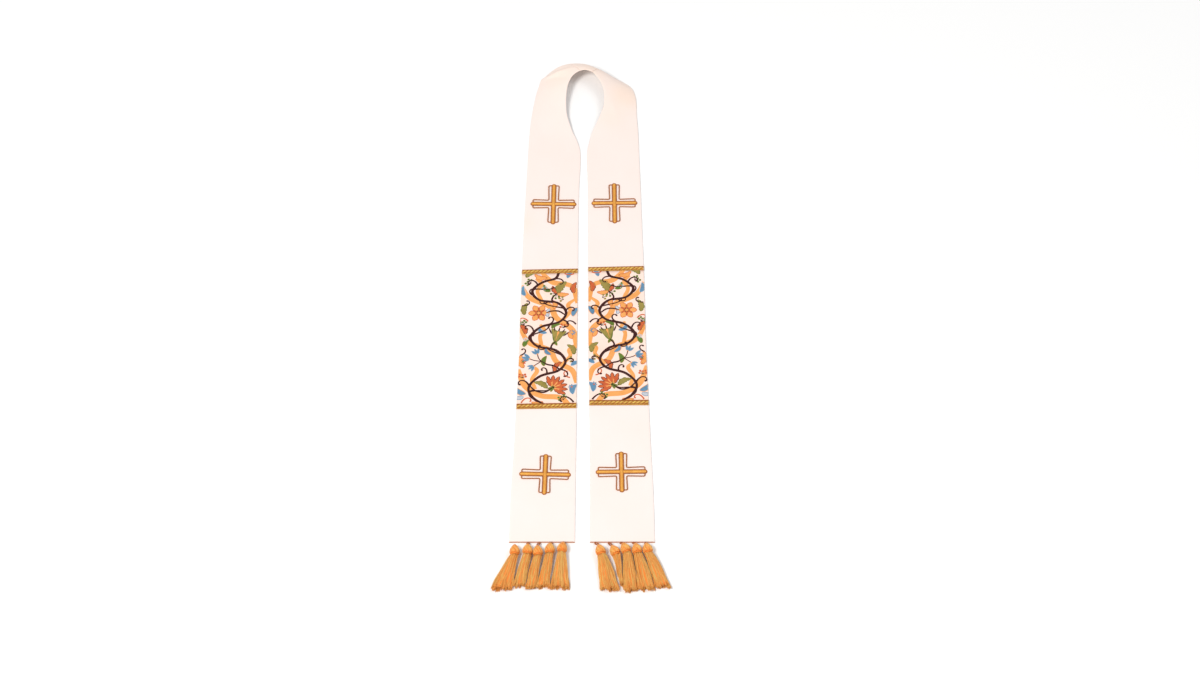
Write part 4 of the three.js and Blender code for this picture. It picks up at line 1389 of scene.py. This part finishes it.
def tassel_skirt(name, row, draw):
    """A skirt of threads in wavy locks round a core painted dark as shade, with uneven ends."""
    work = Work()
    down = np.linspace(0.0, 0.93, 9)
    turn = np.linspace(0, 2 * math.pi, 17)[:-1]
    core = skirt_point(row, down[:, None], np.cos(turn)[None] * 0.84, np.sin(turn)[None] * 0.78)
    core[..., 2] = np.maximum(core[..., 2], 0.1)
    thread = np.stack(np.meshgrid(down * 70, np.linspace(0, 40, 17), indexing="ij"), axis=2)
    # The core is painted dark: painted shade seen in the gaps between the locks.
    work.grid(core, thread, wrap=True, tone=0.05, caps=True)
    for lock in range(LOCKS):
        home = 2 * math.pi * (lock + draw.uniform(-0.3, 0.3)) / LOCKS
        deep = draw.uniform(0.74, 1.04)
        phase = draw.uniform(0, 2 * math.pi)
        sway = draw.uniform(0.8, 2.0)
        waves = draw.uniform(0.8, 1.7)
        stop = draw.uniform(0.94, 1.04)
        shade = draw.uniform(0.2, 1.0)
        for _ in range(LOCK_THREADS):
            s = np.linspace(0, 1, 15)
            reach = stop + draw.uniform(-0.035, 0.025)
            off = draw.normal(0, 0.115)
            around = home + off * (1.15 - 0.35 * np.sin(math.pi * s))
            out = np.clip(deep - 7.0 * off**2 + draw.normal(0, 0.04), 0.55, 1.04)
            line = skirt_point(row, s * reach, np.cos(around) * out, np.sin(around) * out)
            bend = s**1.2 * sway * np.sin(2 * math.pi * waves * s + phase)
            bend += s * draw.uniform(-0.5, 0.5) * np.sin(9 * s + draw.uniform(0, 6.3))
            line[:, 0] += bend
            line[:, 2] += 0.6 * s * np.cos(2 * math.pi * waves * s + phase)
            radius = draw.uniform(0.42, 0.62) * (1 - 0.35 * s**4)
            line[:, 2] = np.maximum(line[:, 2], radius)
            # Random tone per lock and thread, with painted shade on threads towards the gaps between locks
            # and painted shadow at the thread ends.
            tone = (shade + draw.uniform(-0.45, 0.45) - 1.4 * abs(off)) * (1 - 0.7 * s**8)
            tube(work, line, radius, radius, 3, tone=np.clip(0.45 + 0.55 * tone, 0, 1))
    make(f"{name}_skirt_thread", work, TASSEL_GOLD, [f"{name}_skirt"])


def tassel_loop(name, row):
    """The loop of cord that hangs the head from the hem."""
    top = np.array([row.loop, -0.4 - HEM_CORD - 0.2, 2.4])
    foot = lathe_point(row, np.array([HEAD_LENGTH - 0.4]), np.array([0.0]), np.array([0.0]))[0]
    middle, way = (top + foot) / 2, foot - top
    length = np.linalg.norm(way)
    way = way / length
    side = np.cross(way, [0, 0, 1])
    side /= np.linalg.norm(side)
    turn = np.linspace(0, 2 * math.pi, 41)[:-1]
    oval = middle + np.outer(np.cos(turn) * (length / 2), way) + np.outer(np.sin(turn) * 2.0, side)
    work = Work()
    twisted_cord(work, oval, 1.5, 4.0, sides=6, closed=True, tones=(0.0, 0.35), up=tuple(np.cross(side, way)))
    make(f"{name}_loop_cord", work, LOOP_CORD, [f"{name}_loop"])


for side, rows in TASSELS.items():
    for number, row in enumerate(rows, 1):
        tassel = f"tassel_{side}_{number}"
        luck = np.random.default_rng(len(tassel) * 100 + number)
        tassel_head(tassel, row, luck)
        tassel_skirt(tassel, row, luck)
        if row.loop is not None:
            tassel_loop(tassel, row)

# ---------------------------------------------------------------- floor, light and camera
LOOK_AT = to_frame([35, 494.3, 0])
ELEVATION = math.radians(55)
CAMERA_DISTANCE = 5.8933
CAMERA_LENS = 85
CAMERA_SENSOR = 36
STUDIO_LIGHT = 0.5

Light = namedtuple("Light", "name position size watts tint")
LIGHTS = [
    Light("key", (-2.5, -2.4, 5.0), 1.8, 240, (1.0, 0.985, 0.96)),
    Light("fill", (3.2, 0.8, 4.4), 2.6, 62, (0.97, 0.985, 1.0)),
]


def lay_floor():
    mesh = bpy.data.meshes.new("tabletop")
    half = 12.0
    low = -0.0002
    mesh.from_pydata(
        [(-half, -half, low), (half, -half, low), (half, half, low), (-half, half, low)], [], [(0, 1, 2, 3)]
    )
    floor = bpy.data.objects.new("tabletop", mesh)
    bpy.context.scene.collection.objects.link(floor)
    material = bpy.data.materials.new("white_tabletop")
    material.use_nodes = True
    tree = material.node_tree
    speckle = add_node(tree, "ShaderNodeTexNoise", {"Scale": 3.0, "Detail": 2.0}).outputs["Fac"]
    shade = mix_colours(tree, speckle, (0.93, 0.93, 0.93, 1), (0.95, 0.95, 0.95, 1))
    shader = tree.nodes["Principled BSDF"]
    tree.links.new(shade, shader.inputs["Base Color"])
    shader.inputs["Roughness"].default_value = 0.9
    mesh.materials.append(material)


def area_light(name, position, size, watts, tint):
    data = bpy.data.lights.new(name, "AREA")
    data.shape = "SQUARE"
    data.size = size
    data.energy = watts
    data.color = tint
    lamp = bpy.data.objects.new(name, data)
    lamp.location = position
    way = -lamp.location
    lamp.rotation_euler = way.to_track_quat("-Z", "Y").to_euler()
    bpy.context.scene.collection.objects.link(lamp)


def light_and_camera():
    scene = bpy.context.scene
    scene.view_settings.view_transform = "Standard"
    world = bpy.data.worlds.new("studio")
    world.use_nodes = True
    surround = world.node_tree.nodes["Background"].inputs
    surround["Color"].default_value = (1.0, 1.0, 1.0, 1.0)
    surround["Strength"].default_value = STUDIO_LIGHT
    scene.world = world
    for light in LIGHTS:
        area_light(*light)
    data = bpy.data.cameras.new("camera")
    data.lens = CAMERA_LENS
    data.sensor_width = CAMERA_SENSOR
    data.clip_end = 50
    camera = bpy.data.objects.new("camera", data)
    back = np.array([0, -math.cos(ELEVATION), math.sin(ELEVATION)])
    camera.location = LOOK_AT + back * CAMERA_DISTANCE
    camera.rotation_euler = (math.pi / 2 - ELEVATION, 0, 0)
    scene.collection.objects.link(camera)
    scene.camera = camera


lay_floor()
light_and_camera()
